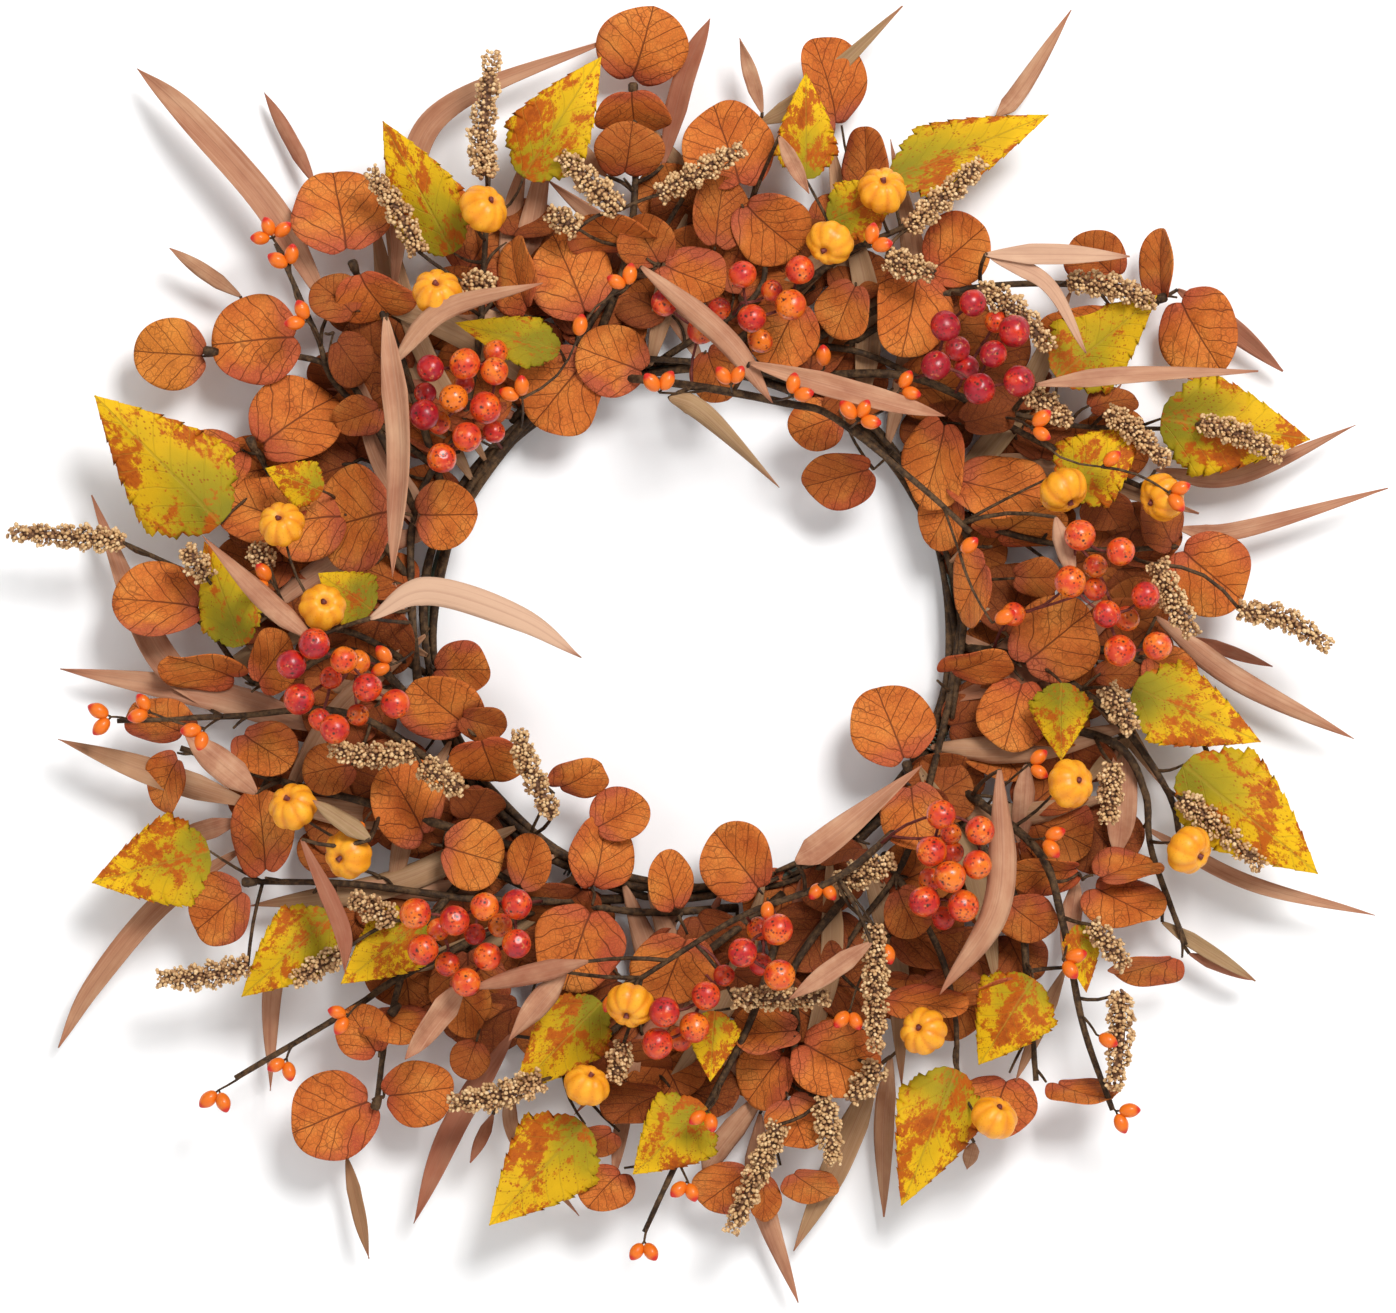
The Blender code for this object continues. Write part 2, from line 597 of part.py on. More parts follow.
def make_stem(number):
    """One stem that lies along the front of the hoop, from one break to the next."""
    pitch = math.tau / STEM_COUNT
    half_break = STEM_BREAK / 2 / HOOP_RADIUS
    first = STEM_START + number * pitch + half_break
    last = first + pitch - 2 * half_break
    depth = HOOP_WIRE / 2 + GAP + STEM_DIAMETER / 2
    curve = bpy.data.curves.new(f"stem_{number + 1}", "CURVE")
    curve.dimensions = "3D"
    curve.bevel_depth = STEM_DIAMETER / 2
    curve.bevel_resolution = 1
    curve.use_fill_caps = True
    spline = curve.splines.new("POLY")
    spline.points.add(STEM_STEPS)
    for step, point in enumerate(spline.points):
        place = ring_point(first + (last - first) * step / STEM_STEPS, HOOP_RADIUS)
        point.co = (place.x, -depth, place.z, 1.0)
    obj = bpy.data.objects.new(curve.name, curve)
    CUTTERS.objects.link(obj)
    graph = bpy.context.evaluated_depsgraph_get()
    mesh = bpy.data.meshes.new_from_object(obj.evaluated_get(graph))
    bpy.data.objects.remove(obj, do_unlink=True)
    bm = bmesh.new()
    bm.from_mesh(mesh)
    bmesh.ops.remove_doubles(bm, verts=bm.verts, dist=0.01 * MM)
    bmesh.ops.recalc_face_normals(bm, faces=bm.faces)
    bm.to_mesh(mesh)
    bm.free()
    mesh.name = curve.name
    mesh.shade_smooth()
    add_object(mesh.name, mesh, "stem")
    return mesh_tree(mesh)


def make_binding(number):
    """A wire loop round the hoop and one stem, halfway along the stem."""
    angle = STEM_START + (number + 0.5) * math.tau / STEM_COUNT
    deep = HOOP_WIRE + GAP + STEM_DIAMETER
    bpy.ops.mesh.primitive_torus_add(
        major_segments=BINDING_STEPS,
        minor_segments=BINDING_SIDES,
        major_radius=1.0,
        minor_radius=BINDING_WIRE / (deep + 2 * GAP + BINDING_WIRE),
    )
    made = bpy.context.object
    deep_radius = deep / 2 + GAP + BINDING_WIRE / 2
    wide_radius = STEM_DIAMETER / 2 * BINDING_SLACK + GAP + BINDING_WIRE / 2
    shape = Matrix.Diagonal((wide_radius, deep_radius, deep_radius, 1))
    middle = ring_point(angle, HOOP_RADIUS) + Vector((0, HOOP_WIRE / 2 - deep / 2, 0))
    turn = Matrix.Rotation(-angle, 4, "Y")
    made.data.transform(Matrix.Translation(middle) @ turn @ shape)
    return adopt(made, f"binding_wire_{number + 1}", "wire")


def make_picks(placed):
    """Every pick, from the ones nearest the door to the ones in front."""
    tables = {
        "back_blade_pick": BACK_BLADES,
        "eucalyptus_pick": EUCALYPTUS,
        "birch_pick": BIRCH,
        "grain_pick": GRAIN,
        "pumpkin_pick": PUMPKINS,
        "front_blade_pick": FRONT_BLADES,
        "bud_pick": BUDS,
    }
    for kind, count, depth in PICK_KINDS:
        for number, rows in enumerate(shares(tables[kind], count, kind)):
            make_pick(f"{kind}_{number + 1}", kind, rows, depth * MM, placed)
    for number, rows in enumerate(BERRY_CLUSTERS):
        make_pick(f"berry_pick_{number + 1}", "berry_pick", rows, BERRY_DEPTH, placed)


clear_scene()
PARTS = collection("harvest_door_wreath")
CUTTERS = collection("cutters")
CENTRE = bpy.data.objects.new("hoop_centre", None)
PARTS.objects.link(CENTRE)
CENTRE.location = (0, 0, -(HOOP_RADIUS - HOOP_WIRE / 2))
TREES = [make_hoop()]
TREES += [make_stem(number) for number in range(STEM_COUNT)]
TREES += [make_binding(number) for number in range(STEM_COUNT)]
make_picks(TREES)
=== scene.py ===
import math
import random

import bmesh
import bpy
from mathutils import Matrix, Vector, noise
from mathutils.bvhtree import BVHTree


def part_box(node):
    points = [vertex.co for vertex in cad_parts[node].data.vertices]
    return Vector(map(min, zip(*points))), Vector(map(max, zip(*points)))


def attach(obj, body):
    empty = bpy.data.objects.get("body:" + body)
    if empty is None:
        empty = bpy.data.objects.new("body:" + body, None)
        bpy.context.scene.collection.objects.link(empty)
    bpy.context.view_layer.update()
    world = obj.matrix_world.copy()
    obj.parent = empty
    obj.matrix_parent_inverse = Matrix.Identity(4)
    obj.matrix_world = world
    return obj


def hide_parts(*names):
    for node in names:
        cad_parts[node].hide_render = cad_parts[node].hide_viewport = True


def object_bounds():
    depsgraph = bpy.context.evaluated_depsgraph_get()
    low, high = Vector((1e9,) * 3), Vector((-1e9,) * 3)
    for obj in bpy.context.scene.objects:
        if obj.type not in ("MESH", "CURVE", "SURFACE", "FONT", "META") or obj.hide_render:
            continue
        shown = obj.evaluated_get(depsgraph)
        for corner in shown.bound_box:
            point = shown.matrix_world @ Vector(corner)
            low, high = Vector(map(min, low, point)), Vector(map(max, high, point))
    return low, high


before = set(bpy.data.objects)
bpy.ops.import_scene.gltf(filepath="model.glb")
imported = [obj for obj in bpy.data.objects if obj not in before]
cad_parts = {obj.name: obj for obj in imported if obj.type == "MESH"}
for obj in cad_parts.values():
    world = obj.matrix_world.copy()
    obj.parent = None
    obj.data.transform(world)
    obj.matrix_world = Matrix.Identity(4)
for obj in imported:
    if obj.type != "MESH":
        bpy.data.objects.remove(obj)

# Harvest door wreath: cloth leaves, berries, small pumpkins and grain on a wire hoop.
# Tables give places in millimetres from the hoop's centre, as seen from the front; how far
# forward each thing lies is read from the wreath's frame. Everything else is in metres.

MM = 0.001
CAD_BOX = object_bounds()
HOOP_LOW, HOOP_HIGH = (Vector(corner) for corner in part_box("wire_hoop"))
CENTRE = (HOOP_LOW + HOOP_HIGH) / 2
HOOP_RADIUS = (HOOP_HIGH.x - HOOP_LOW.x - (HOOP_HIGH.y - HOOP_LOW.y)) / 2
FRONT = Vector((0, -1, 0))
DEPTH = CENTRE.y - CAD_BOX[0].y  # how far the wreath stands forward of its hoop
BERRY_SIZE = 13.0 * MM
PUMPKIN_DEPTH = 17.0 * MM
GRAIN_WIDTH = 12.0 * MM
BEAD = 1.15 * MM
CLOTH = 0.4 * MM
CLOTH_SHEEN = {"Specular IOR Level": 0.12}
STEM_RADIUS = 2.3 * MM
BUNDLE_RADIUS = 3.3 * MM  # the strands laid round the hoop
WALL_GAP = 9 * MM
HIDDEN_LEAVES = 150
HIDDEN_BLADES = 44
STEM_STEPS = 25
STRANDS = 5  # round each quarter of the hoop
STRAND_STEPS = 30
BINDING_TURNS = 6
BINDING_REACH = 5.5 * MM
BUD_WIRE = 2.4 * MM
TWIG_REACH = 90 * MM
SHORTEST_TWIG = 1.5 * MM
AHEAD = 1.0  # where a search from the front starts, in metres before the hoop
FOLIAGE_MIDDLE = 0.04
BERRY_MIDDLE = 0.05
VIEW_WIDTH = 0.614  # what the camera takes in at the foliage's depth
VIEW_OFFSET = Vector((2.6 * MM, -3.2, -12.5 * MM))
VIEW_DISTANCE = 3.17
SENSOR = 36.0
QUARTERS = (0, 0.25, 0.5, 0.75, 1)

# Round leaves: centre x, z, width, height, petiole x, z, and tone from -1 (yellow) to 1 (plum)
EUCALYPTUS = [
    (-155, 183, 44, 38, -151, 162, 0), (-140, 145, 36, 21, -150, 158, 0.3),
    (-230, 121, 33, 32, -216, 120, -0.5), (-192, 127, 40, 40, -162, 130, 0.1),
    (-175, 92, 42, 38, -193, 80, 0.1), (-150, 118, 20, 25, -158, 130, 0.9),
    (-212, 73, 33, 30, -199, 79, -0.3), (-190, 52, 40, 30, -172, 46, -0.2),
    (-170, 48, 38, 36, -153, 50, 0.1), (-147, 48, 33, 48, -131, 52, 0.1),
    (-109, 50, 28, 31, -124, 50, -0.1), (-235, 12, 42, 33, -215, 10, 0),
    (-202, 8, 22, 25, -213, 0, 0.1), (-215, -18, 40, 16, -197, -24, 0.1),
    (-185, -15, 20, 30, -194, -28, 0), (-102, -18, 26, 24, -114, -18, 0.2),
    (-110, -35, 38, 28, -96, -47, 0.1), (-90, -58, 36, 20, -93, -49, 0.1),
    (-235, -42, 32, 20, -221, -50, 0.3), (-188, -53, 30, 24, -202, -44, 0.1),
    (-232, -68, 18, 28, -227, -55, 0.1), (-190, -90, 29, 40, -188, -110, 0),
    (-125, -77, 32, 40, -115, -95, 0.1), (-97, -100, 28, 32, -110, -96, -0.3),
    (-72, -103, 20, 26, -76, -115, 0.2), (-208, -124, 28, 33, -196, -114, 0),
    (-145, -178, 25, 25, -138, -189, 0.2), (-130, -174, 34, 16, -146, -167, 0.2),
    (-158, -215, 39, 40, -141, -208, 0.1), (-121, -205, 32, 30, -136, -207, 0),
    (-98, -165, 20, 32, -110, -152, 0.4), (-40, -100, 29, 33, -43, -117, 0.1),
    (-32, -82, 27, 24, -44, -89, 0.2), (-50, -67, 27, 17, -61, -73, 0.1),
    (-10, -112, 20, 28, -6, -127, 0), (20, -103, 32, 36, 31, -117, 0.2),
    (-50, -140, 40, 39, -44, -122, 0), (-8, -150, 38, 32, -2, -135, 0.1),
    (32, -178, 32, 20, 47, -177, 0), (32, -198, 25, 30, 40, -187, 0.2),
    (63, -190, 40, 34, 45, -180, -0.1), (46, -217, 28, 24, 42, -206, 0.2),
    (52, -246, 26, 16, 39, -237, 0), (15, -247, 30, 24, 27, -238, 0.1),
    (-22, -208, 38, 17, -10, -202, 0.8), (-44, -227, 26, 14, -32, -222, 0.4),
    (-38, -246, 26, 20, -30, -238, 0.2), (66, -98, 25, 12, 78, -95, 0.9),
    (102, -165, 40, 14, 84, -163, 0.3), (88, -43, 38, 36, 95, -61, 0),
    (98, -83, 30, 30, 96, -69, 0.1), (65, 66, 33, 25, 80, 70, 0.5),
    (55, 90, 25, 24, 66, 94, 0.2), (107, 73, 27, 42, 112, 90, -0.1),
    (110, 48, 20, 28, 116, 60, 0.1), (135, 62, 45, 28, 117, 66, 0.2),
    (145, 46, 42, 18, 128, 36, -0.3), (123, 18, 16, 36, 132, 36, 0.2),
    (125, -17, 34, 14, 108, -23, 0.3), (142, -38, 32, 33, 146, -23, 0),
    (160, -5, 40, 39, 145, -17, 0), (183, 52, 24, 18, 176, 62, 0.9),
    (207, 48, 20, 29, 212, 36, 0.7), (228, 24, 36, 38, 214, 36, 0),
    (210, -18, 25, 21, 200, -12, 0.2), (155, -108, 34, 17, 170, -108, 0.2),
    (192, -105, 32, 14, 177, -109, 0.3), (190, -120, 38, 22, 172, -111, 0.1),
    (200, -150, 34, 14, 216, -145, 0.2), (135, -162, 33, 14, 149, -154, 0.1),
    (172, -204, 33, 10, 156, -200, 0.2), (135, -210, 35, 27, 140, -196, 0.1),
    (-22, 256, 41, 34, -27, 240, 0), (-26, 227, 34, 18, -27, 237, 0.2),
    (-28, 210, 31, 24, -30, 198, 0.5), (16, 212, 41, 40, 23, 191, 0.1),
    (61, 240, 28, 44, 66, 222, 0.1), (76, 205, 20, 32, 76, 189, 0.5),
    (35, 176, 35, 32, 22, 187, 0.1), (-53, 155, 37, 40, -46, 138, 0),
    (-35, 173, 40, 16, -20, 163, 0.3), (0, 155, 32, 26, -15, 161, 0.2),
    (-35, 118, 33, 32, -19, 112, 0.1), (-58, 105, 38, 40, -47, 118, 0),
    (40, 130, 32, 33, 48, 146, 0.1), (67, 140, 24, 27, 72, 152, 0.3),
    (97, 140, 34, 42, 101, 160, 0), (-78, 155, 18, 36, -74, 138, 0.3),
    (117, 167, 30, 34, 106, 158, 0.1), (178, 163, 28, 25, 190, 152, 0.5),
    (206, 160, 14, 33, 206, 143, 0.3), (223, 130, 34, 42, 214, 146, -0.1),
    (172, 130, 38, 22, 190, 132, 0.1), (130, 93, 25, 18, 118, 90, 1.0),
    (-147, 93, 23, 18, -138, 96, 0.5), (-157, 146, 24, 22, -150, 140, 0.6),
    (-160, -62, 24, 23, -150, -60, 0.5),
    (-92, -42, 22, 16, -100, -40, 0.6), (-95, -78, 25, 16, -100, -86, 0.9),
    (-98, -190, 18, 18, -95, -182, 0.6),
    (32, -252, 14, 20, 32, -242, 0.4), (95, -125, 22, 24, 90, -115, 0.5),
    (70, 98, 26, 18, 66, 106, 0.7),
    (188, -20, 22, 14, 180, -20, 0.7), (148, -128, 26, 22, 140, -122, 0.4),
    (-20, 170, 26, 24, -14, 160, 0.5),
    (10, 112, 22, 26, 6, 122, 0.5), (12, 183, 26, 33, 10, 168, 0.5), (185, 100, 23, 14, 175, 98, 0.6),
    (152, 22, 22, 18, 142, 22, 0.5),
]

# Toothed leaves: base, tip, width, and tone from 0 (yellow and brown) to 1 (olive)
BIRCH = [
    ((-105, 165), (-136, 223), 34, 0.2), ((-207, 46), (-262, 102), 48, 0.1),
    ((-74, 198), (-40, 251), 36, 0.3), ((50, 197), (50, 244), 26, 0.1),
    ((60, 178), (94, 194), 26, 0.6), ((88, 198), (157, 226), 32, 0.2),
    ((-58, 122), (-104, 134), 22, 1.0), ((160, 110), (204, 146), 36, 0.7),
    ((206, 92), (272, 83), 42, 0.2), ((162, 60), (198, 88), 34, 0.1),
    ((-198, -8), (-214, 38), 28, 0.8), ((-140, 8), (-164, 24), 24, 0.9),
    ((-162, 60), (-187, 70), 20, 0.0), ((-212, -98), (-264, -112), 40, 0.1),
    ((-158, -126), (-198, -162), 32, 0.2), ((-118, -128), (-154, -156), 30, 0.2),
    ((-47, -218), (-89, -262), 40, 0.2), ((6, -210), (-26, -240), 34, 0.3),
    ((10, -168), (8, -199), 22, 0.1), ((-40, -164), (-78, -204), 34, 0.5),
    ((116, -194), (92, -254), 38, 0.1), ((162, -24), (162, -58), 26, 0.7),
    ((194, -26), (250, -50), 36, 0.2), ((216, -60), (275, -108), 44, 0.1),
    ((150, -154), (126, -192), 36, 0.2), ((170, -130), (173, -160), 16, 0.0),
]

# Long blades: points from base to tip, width, and tone from -1 (pale) to 1 (olive)
BACK_BLADES = [
    ([(-160, 140), (-186, 185), (-222, 226), (-246, 248)], 12, 0), ([(-168, 198), (-190, 238)], 6, 0),
    ([(-200, 147), (-231, 168)], 6, 0.3),
    ([(-132, 150), (-125, 200), (-105, 232), (-31, 262)], 10, 0.1),
    ([(-80, 120), (-75, 155), (-62, 224)], 13, 0), ([(-13, 205), (-3, 245), (8, 270)], 9, 0.2),
    ([(30, 223), (50, 235), (93, 275)], 8, 0.8), ([(31, 228), (21, 261)], 6, 0.2),
    ([(-38, 200), (-60, 223)], 6, 0.3), ([(135, 227), (145, 238), (168, 274)], 7, 0.2),
    ([(215, 150), (240, 132), (262, 114)], 9, -0.4), ([(205, 70), (240, 67), (294, 90)], 7, 0.1),
    ([(215, 44), (240, 43), (308, 62)], 7, 0), ([(-215, -35), (-240, -5), (-266, 59)], 12, 0),
    ([(-163, -45), (-210, -30), (-280, -18)], 12, -0.1),
    ([(-195, -78), (-235, -65), (-280, -49)], 11, 0.4), ([(-200, -85), (-238, -96)], 8, 0),
    ([(-200, -98), (-235, -122), (-265, -158), (-281, -186)], 9, 0.2),
    ([(-168, -118), (-185, -155), (-187, -205)], 8, 0.0), ([(-153, -235), (-143, -279)], 6, 0.8),
    ([(-80, -180), (-105, -220), (-123, -263)], 10, 0.1),
    ([(82, -195), (65, -235), (45, -276)], 11, 0.6),
    ([(88, -190), (85, -220), (85, -261)], 8, 0.3), ([(30, -215), (30, -250), (47, -299)], 10, 0),
    ([(-80, -200), (-78, -225), (-50, -260)], 6, 0.3),
    ([(-22, -180), (-31, -220), (-35, -245)], 6, 0.2),
    ([(205, 5), (240, -22), (293, -49)], 9, 0), ([(220, -4), (257, -17)], 5, 0.2),
    ([(190, -48), (190, -80), (188, -102)], 12, 0), ([(200, -88), (245, -112), (302, -127)], 6, 0.1),
    ([(208, -130), (249, -156)], 6, 0.8), ([(165, -150), (143, -200)], 6, 0.4),
    ([(-82, 150), (-80, 180), (-73, 214)], 8, 0.1), ([(-132, 20), (-129, -18)], 8, 0),
    ([(-88, -215), (-98, -236)], 5, 0.4), ([(32, -205), (12, -230), (4, -242)], 10, 0.2),
    ([(148, -60), (145, -100)], 9, 0), ([(196, -46), (172, -70)], 6, 0.9),
    ([(220, -144), (249, -156)], 5, 0.3),
    ([(125, -228), (122, -240)], 6, 0.3), ([(170, -110), (165, -150)], 8, 0.1),
]
FRONT_BLADES = [
    ([(-133, 135), (-127, 80), (-130, 22)], 11, -0.1), ([(-130, 115), (-108, 138), (-65, 150)], 8, 0.2),
    ([(-22, 157), (15, 125), (35, 98)], 9, 0), ([(-10, 100), (5, 93), (38, 61)], 8, 0.7),
    ([(25, 115), (75, 101), (110, 92)], 9, 0), ([(128, 163), (160, 163), (191, 162)], 8, -0.6),
    ([(130, 162), (155, 150), (172, 120)], 7, -0.5), ([(150, 106), (190, 110), (247, 112)], 7, -0.2),
    ([(-165, -5), (-185, 12), (-213, 40)], 9, 0),
    ([(-140, 4), (-115, 16), (-75, 4), (-48, -13)], 11, -0.8),
    ([(-140, -92), (-165, -75)], 8, 0.8), ([(-190, -72), (-222, -46)], 12, 0),
    ([(-170, -92), (-153, -130), (-151, -150)], 7, 0.1), ([(-100, -155), (-125, -188)], 11, 0),
    ([(78, -137), (42, -162)], 8, 0), ([(-45, -145), (-97, -157)], 8, 0.1),
    ([(45, -102), (60, -92), (100, -60)], 11, 0), ([(134, -62), (133, -120), (108, -160)], 11, 0),
    ([(158, 48), (166, 20)], 7, -0.3), ([(38, 214), (51, 189)], 6, 0.1),
    ([(-55, -150), (-80, -180)], 10, 0),
]

# Grain spikes: points from base to tip
GRAIN = [
    [(-120, 165), (-130, 185), (-141, 200)], [(-90, 198), (-92, 215), (-87, 252)],
    [(-100, 151), (-86, 150)], [(-32, 183), (-57, 207)], [(-14, 190), (22, 210)],
    [(-50, 175), (-63, 182)], [(95, 175), (127, 204)], [(85, 162), (105, 155)],
    [(125, 148), (140, 140), (157, 122)], [(165, 152), (185, 150), (203, 142)],
    [(148, 103), (165, 90)], [(182, 95), (195, 85), (208, 72)], [(223, 90), (240, 85), (258, 75)],
    [(-250, 38), (-270, 40), (-300, 42)], [(-213, 22), (-222, 35)], [(-185, 27), (-192, 36)],
    [(-122, -54), (-140, -56), (-158, -53)], [(-118, -60), (-100, -71)],
    [(-61, -82), (-72, -60), (-76, -45)], [(-195, -148), (-215, -153), (-234, -154)],
    [(-153, -142), (-175, -155)], [(-130, -128), (-150, -118)],
    [(-66, -198), (-85, -205), (-106, -208)], [(-30, -182), (-34, -198)],
    [(18, -162), (60, -162)], [(80, -130), (80, -185)], [(64, -112), (88, -102)],
    [(38, -218), (28, -240), (17, -265)], [(58, -206), (62, -235)], [(82, -192), (70, -207)],
    [(240, 8), (260, 4), (279, -8)], [(203, 28), (210, 12), (219, -3)], [(182, -26), (193, -45)],
    [(184, -60), (182, -85)], [(215, -75), (232, -88), (250, -105)], [(175, -130), (190, -148)],
    [(187, -160), (188, -178), (185, -202)],
]

# Pumpkins: centre x, z, then how far the stub turns from the front, in degrees, and which way
PUMPKINS = [
    (-111, 146, 35, 90), (-91, 183, 50, 40), (-179, 45, 30, 100), (-161, 9, 25, 60),
    (-174, -78, 40, 120), (-150, -99, 35, 200), (-27, -164, 45, 250), (-46, -200, 55, 70),
    (101, -176, 30, 150), (132, -214, 60, 60), (165, -68, 40, 20), (217, -97, 55, 330),
    (162, 60, 65, 300), (205, 57, 60, 200), (83, 191, 35, 80), (60, 168, 45, 240),
]

# Berries: centre x, z and tone from 0 (orange) to 1 (crimson)
BERRY_CLUSTERS = [
    [(-114, 113, 0.9), (-99, 115, 0.3), (-86, 112, 0.2), (-104, 100, 0.1), (-90, 96, 0.5),
     (-117, 93, 0.9), (-98, 83, 0.4), (-109, 74, 0.5)],
    [(22, 154, 0.5), (47, 156, 0.3), (26, 135, 0.5), (43, 141, 0.2), (-12, 142, 0.6), (4, 130, 0.3)],
    [(122, 141, 0.9), (110, 131, 1.0), (140, 129, 0.9), (131, 119, 0.8), (106, 114, 1.0),
     (125, 104, 1.0), (142, 107, 0.9)],
    [(-164, -7, 0.7), (-174, -16, 0.9), (-151, -14, 0.2), (-141, -26, 0.6), (-129, -33, 0.5),
     (-171, -31, 0.6), (-155, -44, 0.5)],
    [(-120, -124, 0.3), (-103, -127, 0.5), (-90, -121, 0.2), (-76, -120, 0.5), (-117, -140, 0.4),
     (-89, -143, 0.3), (-76, -137, 0.6), (-98, -154, 0.3)],
    [(37, -131, 0.4), (22, -141, 0.6), (38, -151, 0.3), (6, -160, 0.4), (-15, -181, 0.5),
     (1, -174, 0.3), (-12, -167, 0.6)],
    [(168, 40, 0.3), (186, 33, 0.4), (164, 20, 0.2), (197, 14, 0.6), (180, 6, 0.5),
     (186, -10, 0.5), (202, -8, 0.3)],
    [(108, -81, 0.5), (125, -88, 0.3), (104, -97, 0.4), (124, -103, 0.2), (101, -119, 0.5),
     (118, -121, 0.4), (112, -108, 0.3)],
]
# Smaller berries tucked between the ones above: cluster, x, z, tone
SMALL_BERRIES = [
    (0, -86, 121, 0.2), (0, -117, 103, 0.8), (0, -111, 90, 0.3), (0, -87, 86, 0.6), (0, -100, 107, 0.4),
    (1, 35, 148, 0.4), (1, 12, 140, 0.6), (1, 30, 126, 0.2), (2, 116, 122, 0.8), (2, 133, 134, 0.3),
    (2, 120, 114, 0.9), (3, -158, -22, 0.6), (3, -146, -38, 0.4), (3, -163, -40, 0.3),
    (3, -146, -15, 0.2), (4, -111, -132, 0.3), (4, -95, -134, 0.6), (4, -84, -130, 0.3),
    (4, -107, -147, 0.5), (5, 29, -132, 0.2), (5, 30, -147, 0.5), (5, -5, -180, 0.3),
    (5, 14, -152, 0.6), (6, 176, 27, 0.2), (6, 190, 4, 0.4), (6, 176, 17, 0.5), (6, 141, 6, 0.3),
    (7, 113, -90, 0.3), (7, 114, -98, 0.5), (7, 104, -110, 0.3), (7, 110, -127, 0.6),
]

# Pairs of small buds: x, z of the wire's end, and how many buds sit there
BUDS = [
    (-184, 171, 3), (-176, 158, 2), (-168, 134, 2), (-255, -39, 2), (-237, -37, 2), (-213, -44, 2),
    (-208, -203, 2), (-178, -189, 2), (-150, -169, 2), (-21, -269, 2), (-2, -242, 2), (7, -211, 2),
    (33, -118, 1), (57, -111, 2), (153, -92, 2), (162, -145, 2), (177, -178, 1), (186, -212, 2),
    (116, 32, 1), (130, 2, 1), (207, 59, 2), (147, 87, 2), (90, 103, 2), (72, 90, 3), (43, 100, 2),
    (17, 105, 2), (-14, 102, 2), (-74, 100, 2), (-28, 148, 2), (77, 165, 2), (58, 114, 1),
    (84, -137, 1),
    (-143, -84, 1), (-50, 126, 1), (69, -167, 2), (-33, -159, 2), (147, -60, 2), (-184, 20, 2),
    (-131, -16, 2), (178, 70, 1),
]

# Taped stems that lie along the hoop, over and under the leaves: points, then how far forward
# the stem lies, as a share of the picks' depth
STEMS = [
    ([(118, -8), (150, -15), (185, -38), (210, -72), (216, -96)], 0.2),
    ([(160, -5), (200, -15), (217, -32), (229, -58)], 0.18),
    ([(140, -40), (185, -50), (200, -72), (203, -98), (218, -140)], 0.16),
    ([(112, -75), (142, -118), (148, -155), (152, -200)], 0.18),
    ([(85, -100), (108, -140), (116, -170), (117, -196)], 0.18),
    ([(122, 20), (112, -40), (95, -100), (75, -130), (58, -158)], 0.1),
    ([(100, -80), (62, -110), (20, -127), (-28, -157)], 0.6),
    ([(75, -110), (45, -150), (46, -180), (35, -235)], 0.18),
    ([(40, -118), (0, -148), (-50, -190), (-68, -200)], 0.18),
    ([(20, -124), (-30, -125), (-80, -112), (-112, -85)], 0.1),
    ([(-30, -120), (-90, -120), (-150, -113), (-195, -112)], 0.18),
    ([(-50, -115), (-125, -152), (-150, -168), (-202, -199)], 0.16),
    ([(-85, -92), (-120, -135), (-134, -175), (-139, -207)], 0.18),
    ([(-75, -98), (-140, -78), (-180, -68), (-226, -53)], 0.2),
    ([(-100, -70), (-150, -38), (-205, -39), (-254, -41)], 0.2),
    ([(-112, -45), (-150, -10), (-190, -25), (-215, 2)], 0.18),
    ([(-118, -20), (-150, -2), (-180, 2), (-213, 20), (-252, 38)], 0.18),
    ([(-120, -40), (-124, 10), (-122, 55), (-100, 92)], 0.1),
    ([(-120, 15), (-150, 52), (-178, 58), (-194, 80)], 0.16),
    ([(-118, 40), (-140, 90), (-162, 117), (-212, 122)], 0.16),
    ([(-110, 60), (-128, 118), (-140, 145), (-149, 158)], 0.18),
    ([(-112, 70), (-155, 105), (-166, 130), (-184, 170)], 0.2),
    ([(-105, 75), (-95, 120), (-92, 160), (-90, 200)], 0.18),
    ([(-80, 92), (-55, 118), (-40, 142), (-18, 168), (-4, 190)], 0.2),
    ([(-100, 62), (-50, 112), (0, 118), (60, 104), (102, 66)], 0.1),
    ([(-40, 112), (0, 106), (42, 98), (62, 92), (100, 62), (122, 42)], 0.62),
    ([(-50, 108), (-30, 160), (-25, 200), (-26, 238)], 0.18),
    ([(-15, 118), (30, 150), (25, 190)], 0.18), ([(10, 118), (60, 160), (95, 178)], 0.2),
    ([(20, 124), (70, 123), (115, 104), (165, 90), (225, 88)], 0.16),
    ([(30, 118), (80, 140), (108, 158)], 0.18), ([(50, 112), (100, 110), (150, 84), (204, 60)], 0.2),
    ([(60, 120), (110, 147), (165, 152), (206, 144)], 0.2),
    ([(108, 60), (130, 45), (175, 35), (214, 36)], 0.18),
    ([(80, 88), (122, 40), (120, 0), (115, -40)], 0.12),
    ([(118, -70), (152, -98), (163, -130), (172, -175), (185, -212)], 0.4),
    ([(40, -130), (26, -172), (8, -208), (-8, -238), (-21, -266)], 0.35),
]
# The knobs where a spray was trimmed: x, z, and the way its end points, in degrees
KNOBS = [
    (-212, 122, 175), (-149, 159, 110), (-194, 81, 110), (-216, 3, 140), (-139, -209, 250),
    (-131, -168, 230), (-195, -112, 180), (-26, 237, 90), (95, -62, 100), (206, 145, 20),
    (229, -59, 280),
]

TREES = {}
DRAW = random.Random(24)


# Places


